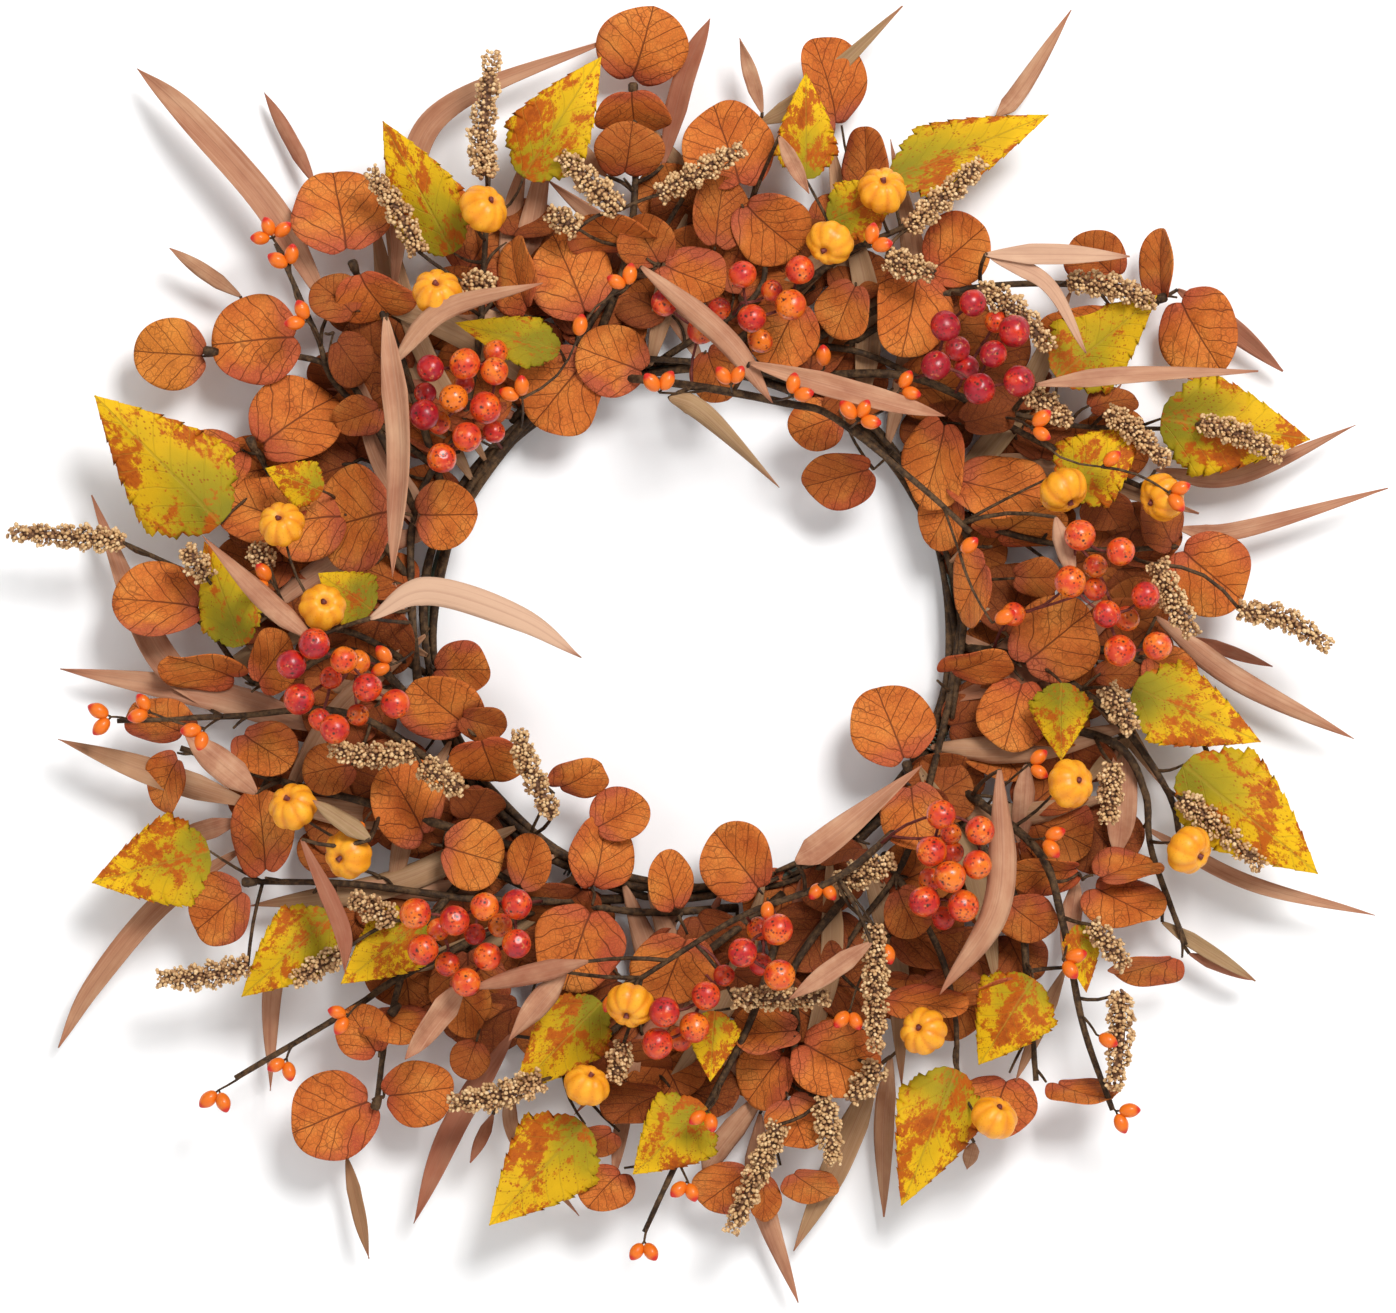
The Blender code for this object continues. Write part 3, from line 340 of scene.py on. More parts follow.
def at(x, z, y=0.0):
    """A place in the scene from a table's place, y metres behind the hoop's plane."""
    return Vector((CENTRE.x + x * MM, CENTRE.y + y, CENTRE.z + z * MM))


def from_centre(point):
    return math.hypot(point.x - CENTRE.x, point.z - CENTRE.z)


def search_tree(node):
    if node not in TREES:
        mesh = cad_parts[node].data
        faces = [list(face.vertices) for face in mesh.polygons]
        TREES[node] = BVHTree.FromPolygons([vert.co.copy() for vert in mesh.vertices], faces)
    return TREES[node]


def nodes_of(kind):
    return sorted(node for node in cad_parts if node.startswith(kind + "_"))


def find(kind, x, z):
    """The CAD pick that holds the item at this place, and the y of the item's front."""
    start = at(x, z, -AHEAD)
    hits = []
    for node in nodes_of(kind):
        hit = search_tree(node).ray_cast(start, -FRONT)[0]
        if hit is not None:
            hits.append((hit.y - CENTRE.y, node))
    if hits:
        return min(hits)[::-1]
    near = []
    for node in nodes_of(kind):
        hit = search_tree(node).find_nearest(at(x, z, -FOLIAGE_MIDDLE))[0]
        near.append((math.hypot(hit.x - start.x, hit.z - start.z), node, hit.y - CENTRE.y))
    return min(near)[1:]


def smooth_line(points, count):
    """Points at even steps of a smooth curve through the given ones."""
    ends = [points[0] * 2 - points[1], *points, points[-1] * 2 - points[-2]]
    line = []
    for step in range(count):
        where = step / (count - 1) * (len(points) - 1)
        first = min(int(where), len(points) - 2)
        t = where - first
        a, b, c, d = ends[first:first + 4]
        bend = (a * 2 - b * 5 + c * 4 - d) * t**2
        line.append((b * 2 + (c - a) * t + bend + (b * 3 - a - c * 3 + d) * t**3) / 2)
    return line


def direction(degrees):
    return Vector((math.cos(math.radians(degrees)), 0, math.sin(math.radians(degrees))))


# Pieces


class Shell:
    """A piece in the making: items are modelled one by one and added to its mesh."""

    def __init__(self):
        self.whole = bmesh.new()

    def make(self, model, *details):
        """Adds the item that model(bm, *details) puts in an empty bmesh, and returns what it returns."""
        bm = bmesh.new()
        bm.loops.layers.uv.new("surface")
        bm.verts.layers.float_color.new("tone")
        result = model(bm, *details)
        mesh = bpy.data.meshes.new("item")
        bm.to_mesh(mesh)
        bm.free()
        self.whole.from_mesh(mesh)
        bpy.data.meshes.remove(mesh)
        return result

    def finish(self, name, node, slot, material, thickness=0.0):
        """Makes the piece an object that rides on the wreath and stands for a CAD node.

        It takes the number of its node into its name.
        """
        number = node.rsplit("_", 1)[1]
        if number.isdigit():
            name = f"{name}_{number}"
        mesh = bpy.data.meshes.new(name)
        self.whole.to_mesh(mesh)
        self.whole.free()
        mesh.shade_smooth()
        mesh.materials.append(material)
        piece = bpy.data.objects.new(name, mesh)
        bpy.context.scene.collection.objects.link(piece)
        if thickness:
            wall = piece.modifiers.new("thickness", "SOLIDIFY")
            wall.thickness = thickness
            wall.offset = 0.0
        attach(piece, "root")
        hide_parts(node)


def set_tone(bm, verts, tone):
    layer = bm.verts.layers.float_color["tone"]
    for vert in verts:
        vert[layer] = tone


def add_rod(bm, points, radii, sides=6, tone=(0, 0, 0, 1)):
    """A round rod through the points, closed at both ends, with a radius at each point."""
    steps = [(after - before).normalized() for before, after in zip(points, points[1:])]
    tangents = [steps[0]]
    tangents += [(a + b).normalized() for a, b in zip(steps, steps[1:])]
    tangents.append(steps[-1])
    turn = Vector((0, 0, 1)).rotation_difference(tangents[0]).to_matrix().to_4x4()
    place = Matrix.Translation(points[0]) @ turn
    disc = bmesh.ops.create_circle(
        bm, cap_ends=True, segments=sides, radius=radii[0], matrix=place
    )
    face = disc["verts"][0].link_faces[0]
    made = list(disc["verts"])
    for number in range(1, len(points)):
        before = face
        grown = bmesh.ops.extrude_face_region(bm, geom=[before])["geom"]
        face = next(item for item in grown if isinstance(item, bmesh.types.BMFace))
        if number > 1:
            bmesh.ops.delete(bm, geom=[before], context="FACES_ONLY")
        bend = tangents[number - 1].rotation_difference(tangents[number])
        scale = radii[number] / radii[number - 1]
        for vert in face.verts:
            offset = vert.co - points[number - 1]
            vert.co = points[number] + (bend @ offset) * scale
        made += face.verts
    set_tone(bm, made, tone)
    bmesh.ops.recalc_face_normals(bm, faces=list({f for vert in made for f in vert.link_faces}))


def add_sheet(bm, columns, rows, shape, tone):
    """A leaf: a grid whose points shape() puts in place, with the leaf's own flat map as UV.

    shape takes the grid's place from -1 to 1 across and along, and returns the point and
    where it lies on the flat leaf.
    """
    grid = bmesh.ops.create_grid(bm, x_segments=columns, y_segments=rows, size=1.0)
    flat = {}
    for vert in grid["verts"]:
        vert.co, flat[vert] = shape(vert.co.x, vert.co.y)
    uv = bm.loops.layers.uv["surface"]
    for face in {face for vert in grid["verts"] for face in vert.link_faces}:
        for loop in face.loops:
            loop[uv].uv = flat[loop.vert]
    set_tone(bm, grid["verts"], tone)


# Leaves


def round_leaf(bm, row, y):
    """A eucalyptus leaf: nearly round, notched at its stalk, tilted so that it looks width by height."""
    x, z, width, height, stalk_x, stalk_z, tone = row
    centre = at(x, z, y)
    run = Vector((x - stalk_x, 0, z - stalk_z)).normalized()
    size = max(width, height) / 2
    lean = math.sqrt(size**2 - (min(width, height) / 2) ** 2) * DRAW.choice((-0.6, 0.6))
    turn = Vector((run.x / width, 0, run.z / height)).normalized()
    if width < height:
        along = Vector((turn.x * width / 2, turn.x * lean, turn.z * height / 2)) * MM
        across = Vector((turn.z * width / 2, turn.z * lean, -turn.x * height / 2)) * MM
    else:
        along = Vector((turn.x * width / 2, turn.z * lean, turn.z * height / 2)) * MM
        across = Vector((turn.z * width / 2, -turn.x * lean, -turn.x * height / 2)) * MM
    out = across.cross(along).normalized()
    if out.y > 0:
        out = -out
    cup = DRAW.uniform(-0.12, 0.2) * size * MM
    droop = DRAW.uniform(-0.2, 0.1) * size * MM
    crease = DRAW.uniform(0.03, 0.09) * size * MM
    wave = DRAW.uniform(0, math.tau)
    lobe = DRAW.uniform(0.01, 0.045)

    def shape(u, v):
        side = u * math.sqrt(1 - v * v / 2)
        length = v * math.sqrt(1 - u * u / 2)
        radius = math.hypot(side, length)
        angle = math.atan2(length, side)
        rim = 1 + lobe * math.sin(3 * angle + wave) + lobe * 0.6 * math.sin(5 * angle - wave)
        notch = 0.18 * max(1 - abs(side) / 0.35, 0) ** 1.5 * max(-length, 0) ** 3
        point = centre + across * side * rim + along * (length * rim + notch)
        point += out * (cup * side * side + droop * length * length - crease * (1 - abs(side)) ** 6)
        point += out * (0.05 * size * MM * radius**4 * math.sin(4 * angle + wave * 2))
        return point, (0.5 + side / 2, 0.5 + length / 2)

    add_sheet(bm, 16, 18, shape, (0.5 + tone / 2, DRAW.random(), DRAW.random(), 1))


def toothed_leaf(bm, row, y):
    """A birch-like leaf: broad near its base, drawn out to a tip, with teeth all round."""
    base, tip, width, tone = row
    start = at(*base, y)
    run = at(*tip, y) - start
    length = run.length
    along = run.normalized()
    cross = Vector((along.z, 0, -along.x))
    side_lean = DRAW.uniform(-0.35, 0.35)
    cross = (cross + Vector((0, side_lean, 0))).normalized()
    fold = DRAW.uniform(0.05, 0.3)
    arch = DRAW.uniform(-0.05, 0.16) * length
    curl = DRAW.uniform(-0.06, 0.1) * length
    wave = DRAW.uniform(0, math.tau)
    half = width / 2 * MM * 1.1

    def shape(u, v):
        t = (v + 1) / 2
        profile = min(t / 0.26, 1) ** 0.5 if t < 0.26 else 1 - ((t - 0.26) / 0.74) ** 1.35
        teeth = 0.5 - (t * 9) % 1.0
        teeth += 0.6 * (0.5 - (t * 27) % 1.0)
        rim = abs(u) ** 4 * min(profile * 2, 1)
        side = u * max(profile, 0.012) + math.copysign(0.09, u) * teeth * rim
        point = start + along * (t - 0.03 * teeth * rim) * length + cross * half * side
        lift = fold * abs(side) * half - arch * math.sin(math.pi * t) - curl * t * t
        lift += 0.05 * half * math.sin(11 * t + wave) * abs(side) ** 2
        return point - FRONT * lift, (0.5 + side / 2, t)

    add_sheet(bm, 14, 64, shape, (tone, DRAW.random(), DRAW.random(), 1))


def blade_leaf(bm, row, y, lean):
    """A long strap leaf, bent along its points and slightly hollow across."""
    places, width, tone = row
    points = [at(*place, y) for place in places]
    bow = DRAW.uniform(0.0, 0.05)
    total = sum((b - a).length for a, b in zip(points, points[1:]))
    for number, point in enumerate(points):
        share = number / (len(points) - 1)
        point.y += lean * share * share - bow * total * math.sin(math.pi * share)
    line = smooth_line(points, 40)
    half = width / 2 * MM * 1.12
    hollow = DRAW.uniform(0.12, 0.4) * DRAW.choice((-1, 1))
    start_turn = DRAW.uniform(-0.3, 0.3)
    end_turn = start_turn + DRAW.uniform(-0.6, 0.6)
    ripple = DRAW.uniform(0, math.tau)

    def shape(u, v):
        t = (v + 1) / 2
        where = t * (len(line) - 1)
        first = min(int(where), len(line) - 2)
        point = line[first].lerp(line[first + 1], where - first)
        tangent = (line[first + 1] - line[first]).normalized()
        cross = tangent.cross(FRONT).normalized()
        out = cross.cross(tangent)
        turn = start_turn + (end_turn - start_turn) * t
        profile = 0.14 + 0.86 * min(t / 0.3, 1) ** 0.8 if t < 0.5 else 1 - ((t - 0.5) / 0.5) ** 1.8
        profile = max(profile, 0.015)
        side = cross * math.cos(turn) + out * math.sin(turn)
        normal = out * math.cos(turn) - cross * math.sin(turn)
        point = point + side * u * half * profile
        point += normal * half * (hollow * profile * (u * u - 0.4) + 0.12 * math.sin(9 * t + ripple) * u)
        return point, (0.5 + u * profile / 2, t)

    add_sheet(bm, 6, 44, shape, (0.5 + tone / 2, DRAW.random(), DRAW.random(), 1))


# Stems and twigs


def stem_line(points, share):
    """A spray's stem: it leaves the hoop, rises over the leaves and sinks a little to its tip."""
    line = smooth_line([at(x, z) for x, z in points], STEM_STEPS + 1)
    for number, point in enumerate(line):
        t = number / STEM_STEPS
        point.y -= DEPTH * share * min(t / 0.25, 1) ** 0.7 * (1 - 0.25 * t) + BUNDLE_RADIUS
    return line


STEM_LINES = [stem_line(*row) for row in STEMS]
HOOP_POINTS = [
    CENTRE + direction(angle) * HOOP_RADIUS + FRONT * BUNDLE_RADIUS for angle in range(0, 360, 4)
]
STEM_POINTS = HOOP_POINTS + [point for line in STEM_LINES for point in line[:-1]]


def curved_twig(start, end, bow):
    """Points of a twig that bends a little on its way, and runs low between its ends."""
    run = end - start
    side = Vector((run.z, 0, -run.x)) * bow - FRONT * run.length * 0.12
    return [start + run * share + side * math.sin(math.pi * share) for share in QUARTERS]


def add_twigs(places, name, node, material, thick=0.9, thin=0.55, shell=None):
    """Joins each place to a stem close by, or to a place that already has a twig, in one piece."""
    shell = shell or Shell()
    joined = []
    for end in sorted(places, key=from_centre):
        targets = [point for point in STEM_POINTS + joined if (point - end).length < TWIG_REACH]
        start = min(targets, key=lambda point: twig_cost(point, end))
        joined.append(end)
        if (end - start).length < SHORTEST_TWIG:
            continue
        points = curved_twig(start, end, DRAW.uniform(-0.14, 0.14))
        radii = [(thick + (thin - thick) * share) * MM for share in QUARTERS]
        shell.make(add_rod, points, radii, 6)
    shell.finish(name, node, "stem", material)


def twig_cost(start, end):
    """A twig's length, longer in effect where it would run back towards the hoop's middle."""
    back = max(from_centre(start) - from_centre(end) + 8 * MM, 0)
    return (start - end).length + back + 0.6 * max(end.y - start.y, 0)


def grouped(kind, rows, place_of):
    """The rows of a table, shared out among the CAD picks that hold them, with their y."""
    groups = {node: [] for node in nodes_of(kind)}
    for row in rows:
        node, y = find(kind, *place_of(row))
        groups[node].append((row, y))
    return groups


# Fruits and grain


def facing(direction_to):
    return Vector((0, 0, 1)).rotation_difference(direction_to.normalized()).to_matrix().to_4x4()


def berry(bm, centre, radius, tone, away):
    """A foam berry: a little flattened, with a dimpled blossom end."""
    ball = bmesh.ops.create_uvsphere(bm, u_segments=24, v_segments=16, radius=1.0)["verts"]
    seed = DRAW.random() * 50
    layer = bm.verts.layers.float_color["tone"]
    pick = (tone, seed / 50, 0, 1)
    for vert in ball:
        polar = math.hypot(vert.co.x, vert.co.y)
        end = math.exp(-((polar / 0.2) ** 2)) if vert.co.z > 0 else 0.0
        vert.co *= 1 + 0.05 * noise.noise(vert.co * 1.1 + Vector((seed, 0, 0)))
        vert.co.z = vert.co.z * 0.95 - 0.09 * end
        vert[layer] = (*pick[:2], end, 1)
    bmesh.ops.transform(
        bm, verts=ball, matrix=Matrix.Translation(centre) @ facing(away) @ Matrix.Scale(radius, 4)
    )


def pumpkin(bm, row, y):
    """A small foam pumpkin: eight ribs and a hollow at each end; pumpkin_stub gives it its stub of
    stalk.
    """
    x, z, tilt, way = row
    centre = at(x, z, y)
    side = direction(way)
    axis = FRONT * math.cos(math.radians(tilt)) + side * math.sin(math.radians(tilt))
    place = Matrix.Translation(centre) @ facing(axis)
    ball = bmesh.ops.create_uvsphere(bm, u_segments=48, v_segments=26, radius=1.0)["verts"]
    layer = bm.verts.layers.float_color["tone"]
    wide = DRAW.uniform(10.2, 11.2) * MM
    phase = DRAW.uniform(0, math.tau)
    seed = Vector((DRAW.random() * 30, 0, 0))
    for vert in ball:
        angle = math.atan2(vert.co.y, vert.co.x) + phase
        polar = math.hypot(vert.co.x, vert.co.y)
        rib = abs(math.sin(4 * angle)) ** 0.6
        groove = (1 - rib) * min(polar * 1.6, 1)
        end = math.exp(-((polar / 0.3) ** 2))
        scale = 1 - 0.12 * groove + 0.07 * noise.noise(vert.co * 1.3 + seed)
        height = vert.co.z * (0.8 - 0.27 * end * (1 if vert.co.z > 0 else 0.6))
        vert.co = Vector((vert.co.x * scale, vert.co.y * scale, height * (1 - 0.05 * groove)))
        vert[layer] = (groove, seed.x / 30, end if vert.co.z > 0 else 0, 1)
    bmesh.ops.transform(bm, verts=ball, matrix=place @ Matrix.Scale(wide, 4))
    return place, wide


def pumpkin_stub(bm, place, wide):
    """A short, ridged, bent stub that widens where it meets the pumpkin."""
    bend = direction(DRAW.uniform(0, 360))
    bend = Vector((bend.x, bend.z, 0))
    points = []
    for step in range(6):
        share = step / 5
        rise = Vector((0, 0, wide * (0.42 + 0.24 * share)))
        points.append(place @ (rise + bend * wide * 0.12 * share**2))
    add_rod(bm, points, [wide * r for r in (0.2, 0.15, 0.12, 0.11, 0.11, 0.12)], 9)


def bud(bm, start, way, length):
    """A pointed bud on the end of its wire."""
    ball = bmesh.ops.create_uvsphere(bm, u_segments=14, v_segments=12, radius=1.0)["verts"]
    layer = bm.verts.layers.float_color["tone"]
    seed = DRAW.random()
    for vert in ball:
        tip = max(vert.co.z, 0)
        vert[layer] = (tip**3, seed, 0, 1)
        vert.co = Vector((vert.co.x * (1 - 0.35 * tip**2), vert.co.y * (1 - 0.35 * tip**2), vert.co.z))
    size = Matrix.Diagonal((length * 0.34, length * 0.34, length * 0.5, 1))
    centre = start + way * length * 0.45
    bmesh.ops.transform(bm, verts=ball, matrix=Matrix.Translation(centre) @ facing(way) @ size)


def add_bead(bm, place, out, tone):
    """One seed of a grain spike: a few faces, a random size and the tone it is given, which is partly
    painted shade.
    """
    size = BEAD * DRAW.uniform(0.5, 0.95)
    stretch = Matrix.Diagonal((size, size * DRAW.uniform(0.75, 1), size * DRAW.uniform(0.9, 1.3), 1))
    bead = bmesh.ops.create_uvsphere(
        bm, u_segments=6, v_segments=4, radius=1.0,
        matrix=Matrix.Translation(place) @ facing(out) @ stretch,
    )
    set_tone(bm, bead["verts"], (tone, DRAW.random(), 0, 1))


def bead_ring(bm, centre, tangent, radius):
    """Seeds all round one place of a spike; the ones that stand out further are paler, and the deeper
    ones darker as painted shade.
    """
    turn = facing(tangent)
    around = max(int(math.tau * radius / (BEAD * 1.65)), 4)
    for step in range(around):
        angle = math.tau * (step + DRAW.random()) / around
        out = turn @ Vector((math.cos(angle), math.sin(angle), 0))
        lift = DRAW.random()
        place = centre + out * radius * (0.72 + 0.36 * lift)
        place += tangent * BEAD * DRAW.uniform(-0.8, 0.8)
        # tone: painted shade by depth, darker for seeds that sit deeper in the spike, mixed with a
        # random share
        add_bead(bm, place, out + tangent * DRAW.random(), 0.55 * lift + 0.45 * DRAW.random())


def grain_spike(shell, core, points, width):
    """Whorls of seeds, thickest in the lower half, crowded round a core that is painted dark as shade
    between the seeds.
    """
    line = smooth_line(points, 24)
    length = sum((b - a).length for a, b in zip(line, line[1:]))
    whorls = max(round(length / (8.0 * MM)), 2)
    phase = DRAW.random()
    core.make(add_rod, line[::3], [width * 0.17] * 8, 6)
    rings = max(int(length / (BEAD * 1.15)), 3)
    for ring in range(rings + 1):
        share = ring / rings
        number = min(int(share * 23), 22)
        centre = line[number].lerp(line[number + 1], min(share * 23 - number, 1))
        tangent = (line[number + 1] - line[number]).normalized()
        swell = abs(math.sin(math.pi * (share * whorls + phase)))
        radius = width / 2 * (0.5 + 0.5 * math.sin(math.pi * (0.2 + 0.75 * share)))
        radius *= 0.56 + 0.44 * swell
        shell.make(bead_ring, centre, tangent, radius)


# Materials


class Look:
    """A procedural material in the making."""

    def __init__(self, name, roughness):
        self.material = bpy.data.materials.new(name)
        self.material.use_nodes = True
        self.tree = self.material.node_tree
        self.shader = self.tree.nodes["Principled BSDF"]
        self.shader.inputs["Roughness"].default_value = roughness

    def node(self, kind, inputs=(), **settings):
        made = self.tree.nodes.new(kind)
        for key, value in settings.items():
            setattr(made, key, value)
        for key, value in dict(inputs).items():
            if isinstance(value, bpy.types.NodeSocket):
                self.tree.links.new(value, made.inputs[key])
            else:
                made.inputs[key].default_value = value
        return made

    def link(self, value, socket):
        self.tree.links.new(value, self.shader.inputs[socket])

    def math(self, operation, a, b=0.0, c=0.0, clamp=False):
        made = self.node("ShaderNodeMath", {0: a, 1: b, 2: c}, operation=operation, use_clamp=clamp)
        return made.outputs[0]

    def span(self, value, low, high, to_low=0.0, to_high=1.0):
        """Maps low..high smoothly to to_low..to_high."""
        inputs = {"Value": value, "From Min": low, "From Max": high, "To Min": to_low, "To Max": to_high}
        return self.node("ShaderNodeMapRange", inputs, interpolation_type="SMOOTHSTEP").outputs[0]

    def mix(self, share, a, b, blend="MIX"):
        made = self.node("ShaderNodeMix", data_type="RGBA", blend_type=blend)
        for index, value in ((0, share), (6, a), (7, b)):
            if isinstance(value, bpy.types.NodeSocket):
                self.tree.links.new(value, made.inputs[index])
            else:
                made.inputs[index].default_value = value if index == 0 else (*value, 1)
        return made.outputs[2]

    def ramp(self, value, *stops):
        made = self.node("ShaderNodeValToRGB", {"Fac": value})
        elements = made.color_ramp.elements
        while len(elements) < len(stops):
            elements.new(0.5)
        for element, (place, color) in zip(elements, stops):
            element.position = place
            element.color = (*color, 1)
        return made.outputs[0]

    def places(self):
        return self.node("ShaderNodeTexCoord").outputs["Object"]

    def surface(self):
        return self.node("ShaderNodeUVMap", uv_map="surface").outputs[0]

    def tone(self, *channels):
        """The asked-for channels of the tone that each item carries."""
        made = self.node("ShaderNodeAttribute", attribute_name="tone")
        split = self.node("ShaderNodeSeparateColor", {0: made.outputs["Color"]}).outputs
        return [split[channel] for channel in channels]

    def noise(self, vector, scale, detail=3.0, roughness=0.55):
        inputs = {"Vector": vector, "Scale": scale, "Detail": detail, "Roughness": roughness}
        return self.node("ShaderNodeTexNoise", inputs).outputs["Fac"]

    def cells(self, vector, scale, feature="DISTANCE_TO_EDGE", randomness=1.0):
        inputs = {"Vector": vector, "Scale": scale, "Randomness": randomness}
        return self.node("ShaderNodeTexVoronoi", inputs, feature=feature).outputs["Distance"]

    def fix(self, values):
        """Sets plain numbers on the shader's own inputs."""
        for name, value in values.items():
            self.shader.inputs[name].default_value = value

    def finish(self, color, height, distance, strength=1.0):
        """Gives the material its colour and its relief, and returns it."""
        self.link(color, "Base Color")
        inputs = {"Height": height, "Distance": distance * MM, "Strength": strength}
        self.link(self.node("ShaderNodeBump", inputs).outputs[0], "Normal")
        return self.material

    def stretched(self, vector, scale):
        return self.node("ShaderNodeMapping", {"Vector": vector, "Scale": scale}).outputs[0]

    def shifted(self, vector, amount):
        """The pattern moved by a different amount on each leaf."""
        offset = self.node("ShaderNodeCombineXYZ", {0: amount, 1: amount, 2: amount}).outputs[0]
        far = self.node("ShaderNodeVectorMath", {0: offset, "Scale": 37.0}, operation="SCALE").outputs[0]
        return self.node("ShaderNodeVectorMath", {0: vector, 1: far}, operation="ADD").outputs[0]


def leaf_veins(look, flat, pairs, rise, wander):
    """Masks of a leaf's midrib and its side veins, which run out towards the tip."""
    warp = look.noise(flat, 3.0, 2.0)
    split = look.node("ShaderNodeSeparateXYZ", {0: flat}).outputs
    side = look.math("MULTIPLY_ADD", warp, 0.05, -0.025)
    side = look.math("ABSOLUTE", look.math("ADD", look.math("SUBTRACT", split[0], 0.5), side))
    midrib = look.span(side, 0.004, look.span(split[1], 0.0, 1.0, 0.024, 0.010), 1.0, 0.0)
    row = look.math("MULTIPLY_ADD", look.math("POWER", side, 0.75), -rise, split[1])
    row = look.math("MULTIPLY_ADD", warp, wander, row)
    row = look.math("PINGPONG", look.math("MULTIPLY", row, pairs), 0.5)
    veins = look.span(row, 0.012, 0.055, 1.0, 0.0)
    return split, side, midrib, veins


def eucalyptus_look():
    """Printed cloth: orange, plum at the stalk and down one edge, with a dark net of veins."""
    look = Look("eucalyptus_cloth", 0.6)
    look.fix(CLOTH_SHEEN)
    flat = look.surface()
    tone, seed, other = look.tone(0, 1, 2)
    print_place = look.shifted(flat, seed)
    split, _, midrib, veins = leaf_veins(look, flat, 5.0, 0.75, 0.16)
    patches = look.noise(print_place, 2.2, 4.0)
    color = look.ramp(patches, (0.32, (0.45, 0.088, 0.015)), (0.52, (0.60, 0.155, 0.027)),
                      (0.70, (0.69, 0.235, 0.046)))
    yellow = look.span(tone, 0.48, 0.05, 0.0, 0.75)
    color = look.mix(yellow, color, (0.72, 0.28, 0.038))
    stalk_end = look.span(look.math("MULTIPLY_ADD", patches, -0.6, split[1]), 0.08, -0.20)
    one_edge = look.span(look.math("MULTIPLY_ADD", patches, 0.6, split[0]), 0.60, 0.36)
    blush = look.math("MAXIMUM", stalk_end, look.math("MULTIPLY", one_edge, look.span(other, 0.3, 0.9)))
    plum = look.mix(seed, (0.36, 0.065, 0.050), (0.43, 0.050, 0.028))
    color = look.mix(look.math("MULTIPLY", blush, 0.75), color, plum)
    # darker for high tones: the deep plum-brown of some listed leaves, and painted shade on the hidden
    # leaves, whose tones all run high
    dark = look.span(tone, 0.55, 1.0, 0.0, 0.9)
    color = look.mix(dark, color, (0.15, 0.024, 0.008))
    net = look.span(look.cells(print_place, 12.5), 0.02, 0.08, 0.72, 0.0)
    net = look.math("MULTIPLY", net, look.span(look.noise(print_place, 4.0), 0.35, 0.65, 0.3, 0.95))
    mesh = look.span(look.cells(print_place, 26.0), 0.02, 0.12, 0.25, 0.0)
    fine = look.span(look.noise(print_place, 90.0, 2.0), 0.35, 0.7, 0.0, 0.18)
    lines = look.math("MAXIMUM", look.math("MULTIPLY", veins, 0.95), look.math("MAXIMUM", net, mesh))
    lines = look.math("MAXIMUM", lines, midrib)
    color = look.mix(fine, color, (0.74, 0.30, 0.05))
    color = look.mix(look.math("MULTIPLY", lines, 0.84), color, (0.085, 0.018, 0.006))
    return look.finish(color, look.math("MULTIPLY_ADD", lines, -0.6, fine), 0.5, 0.7)


def birch_look():
    """Printed cloth: olive at the stalk, orange-brown across, yellow and freckled to the tip."""
    look = Look("toothed_cloth", 0.6)
    look.fix(CLOTH_SHEEN)
    flat = look.surface()
    tone, seed, other = look.tone(0, 1, 2)
    print_place = look.shifted(flat, seed)
    split, side, midrib, veins = leaf_veins(look, flat, 7.5, 0.55, 0.05)
    broad = look.noise(print_place, 2.2, 3.0)
    blots = look.noise(look.shifted(print_place, other), 3.4, 6.0, 0.72)
    fine = look.noise(print_place, 16.0, 5.0, 0.8)
    reach = look.math("MULTIPLY_ADD", side, 0.7, look.math("MULTIPLY_ADD", broad, 0.9, split[1]))
    reach = look.math("MULTIPLY_ADD", tone, -0.3, reach)
    color = look.ramp(reach, (0.45, (0.23, 0.19, 0.010)), (0.75, (0.38, 0.27, 0.008)),
                      (1.0, (0.58, 0.34, 0.006)))
    color = look.mix(look.span(reach, 1.0, 1.35), color, (0.74, 0.43, 0.007))
    mottle = look.math("MULTIPLY_ADD", look.math("SUBTRACT", fine, 0.5), 0.55, blots)
    mottle = look.math("MULTIPLY_ADD", look.math("SUBTRACT", broad, 0.5), 0.5, mottle)
    mottle = look.math("MULTIPLY_ADD", tone, -0.08, mottle)
    color = look.mix(look.span(mottle, 0.47, 0.56), color, (0.42, 0.092, 0.005))
    color = look.mix(look.span(mottle, 0.60, 0.72, 0.0, 0.75), color, (0.27, 0.050, 0.004))
    freckles = look.span(look.cells(print_place, 34.0, "F1"), 0.34, 0.16)
    freckles = look.math("MULTIPLY", freckles, look.span(look.noise(print_place, 5.0), 0.42, 0.58))
    color = look.mix(look.math("MULTIPLY", freckles, 0.8), color, (0.27, 0.045, 0.006))
    lines = look.math("MAXIMUM", look.math("MULTIPLY", veins, 0.6), midrib)
    color = look.mix(look.math("MULTIPLY", lines, 0.45), color, (0.34, 0.22, 0.02))
    return look.finish(color, look.math("MULTIPLY_ADD", lines, -0.7, fine), 0.5, 0.7)


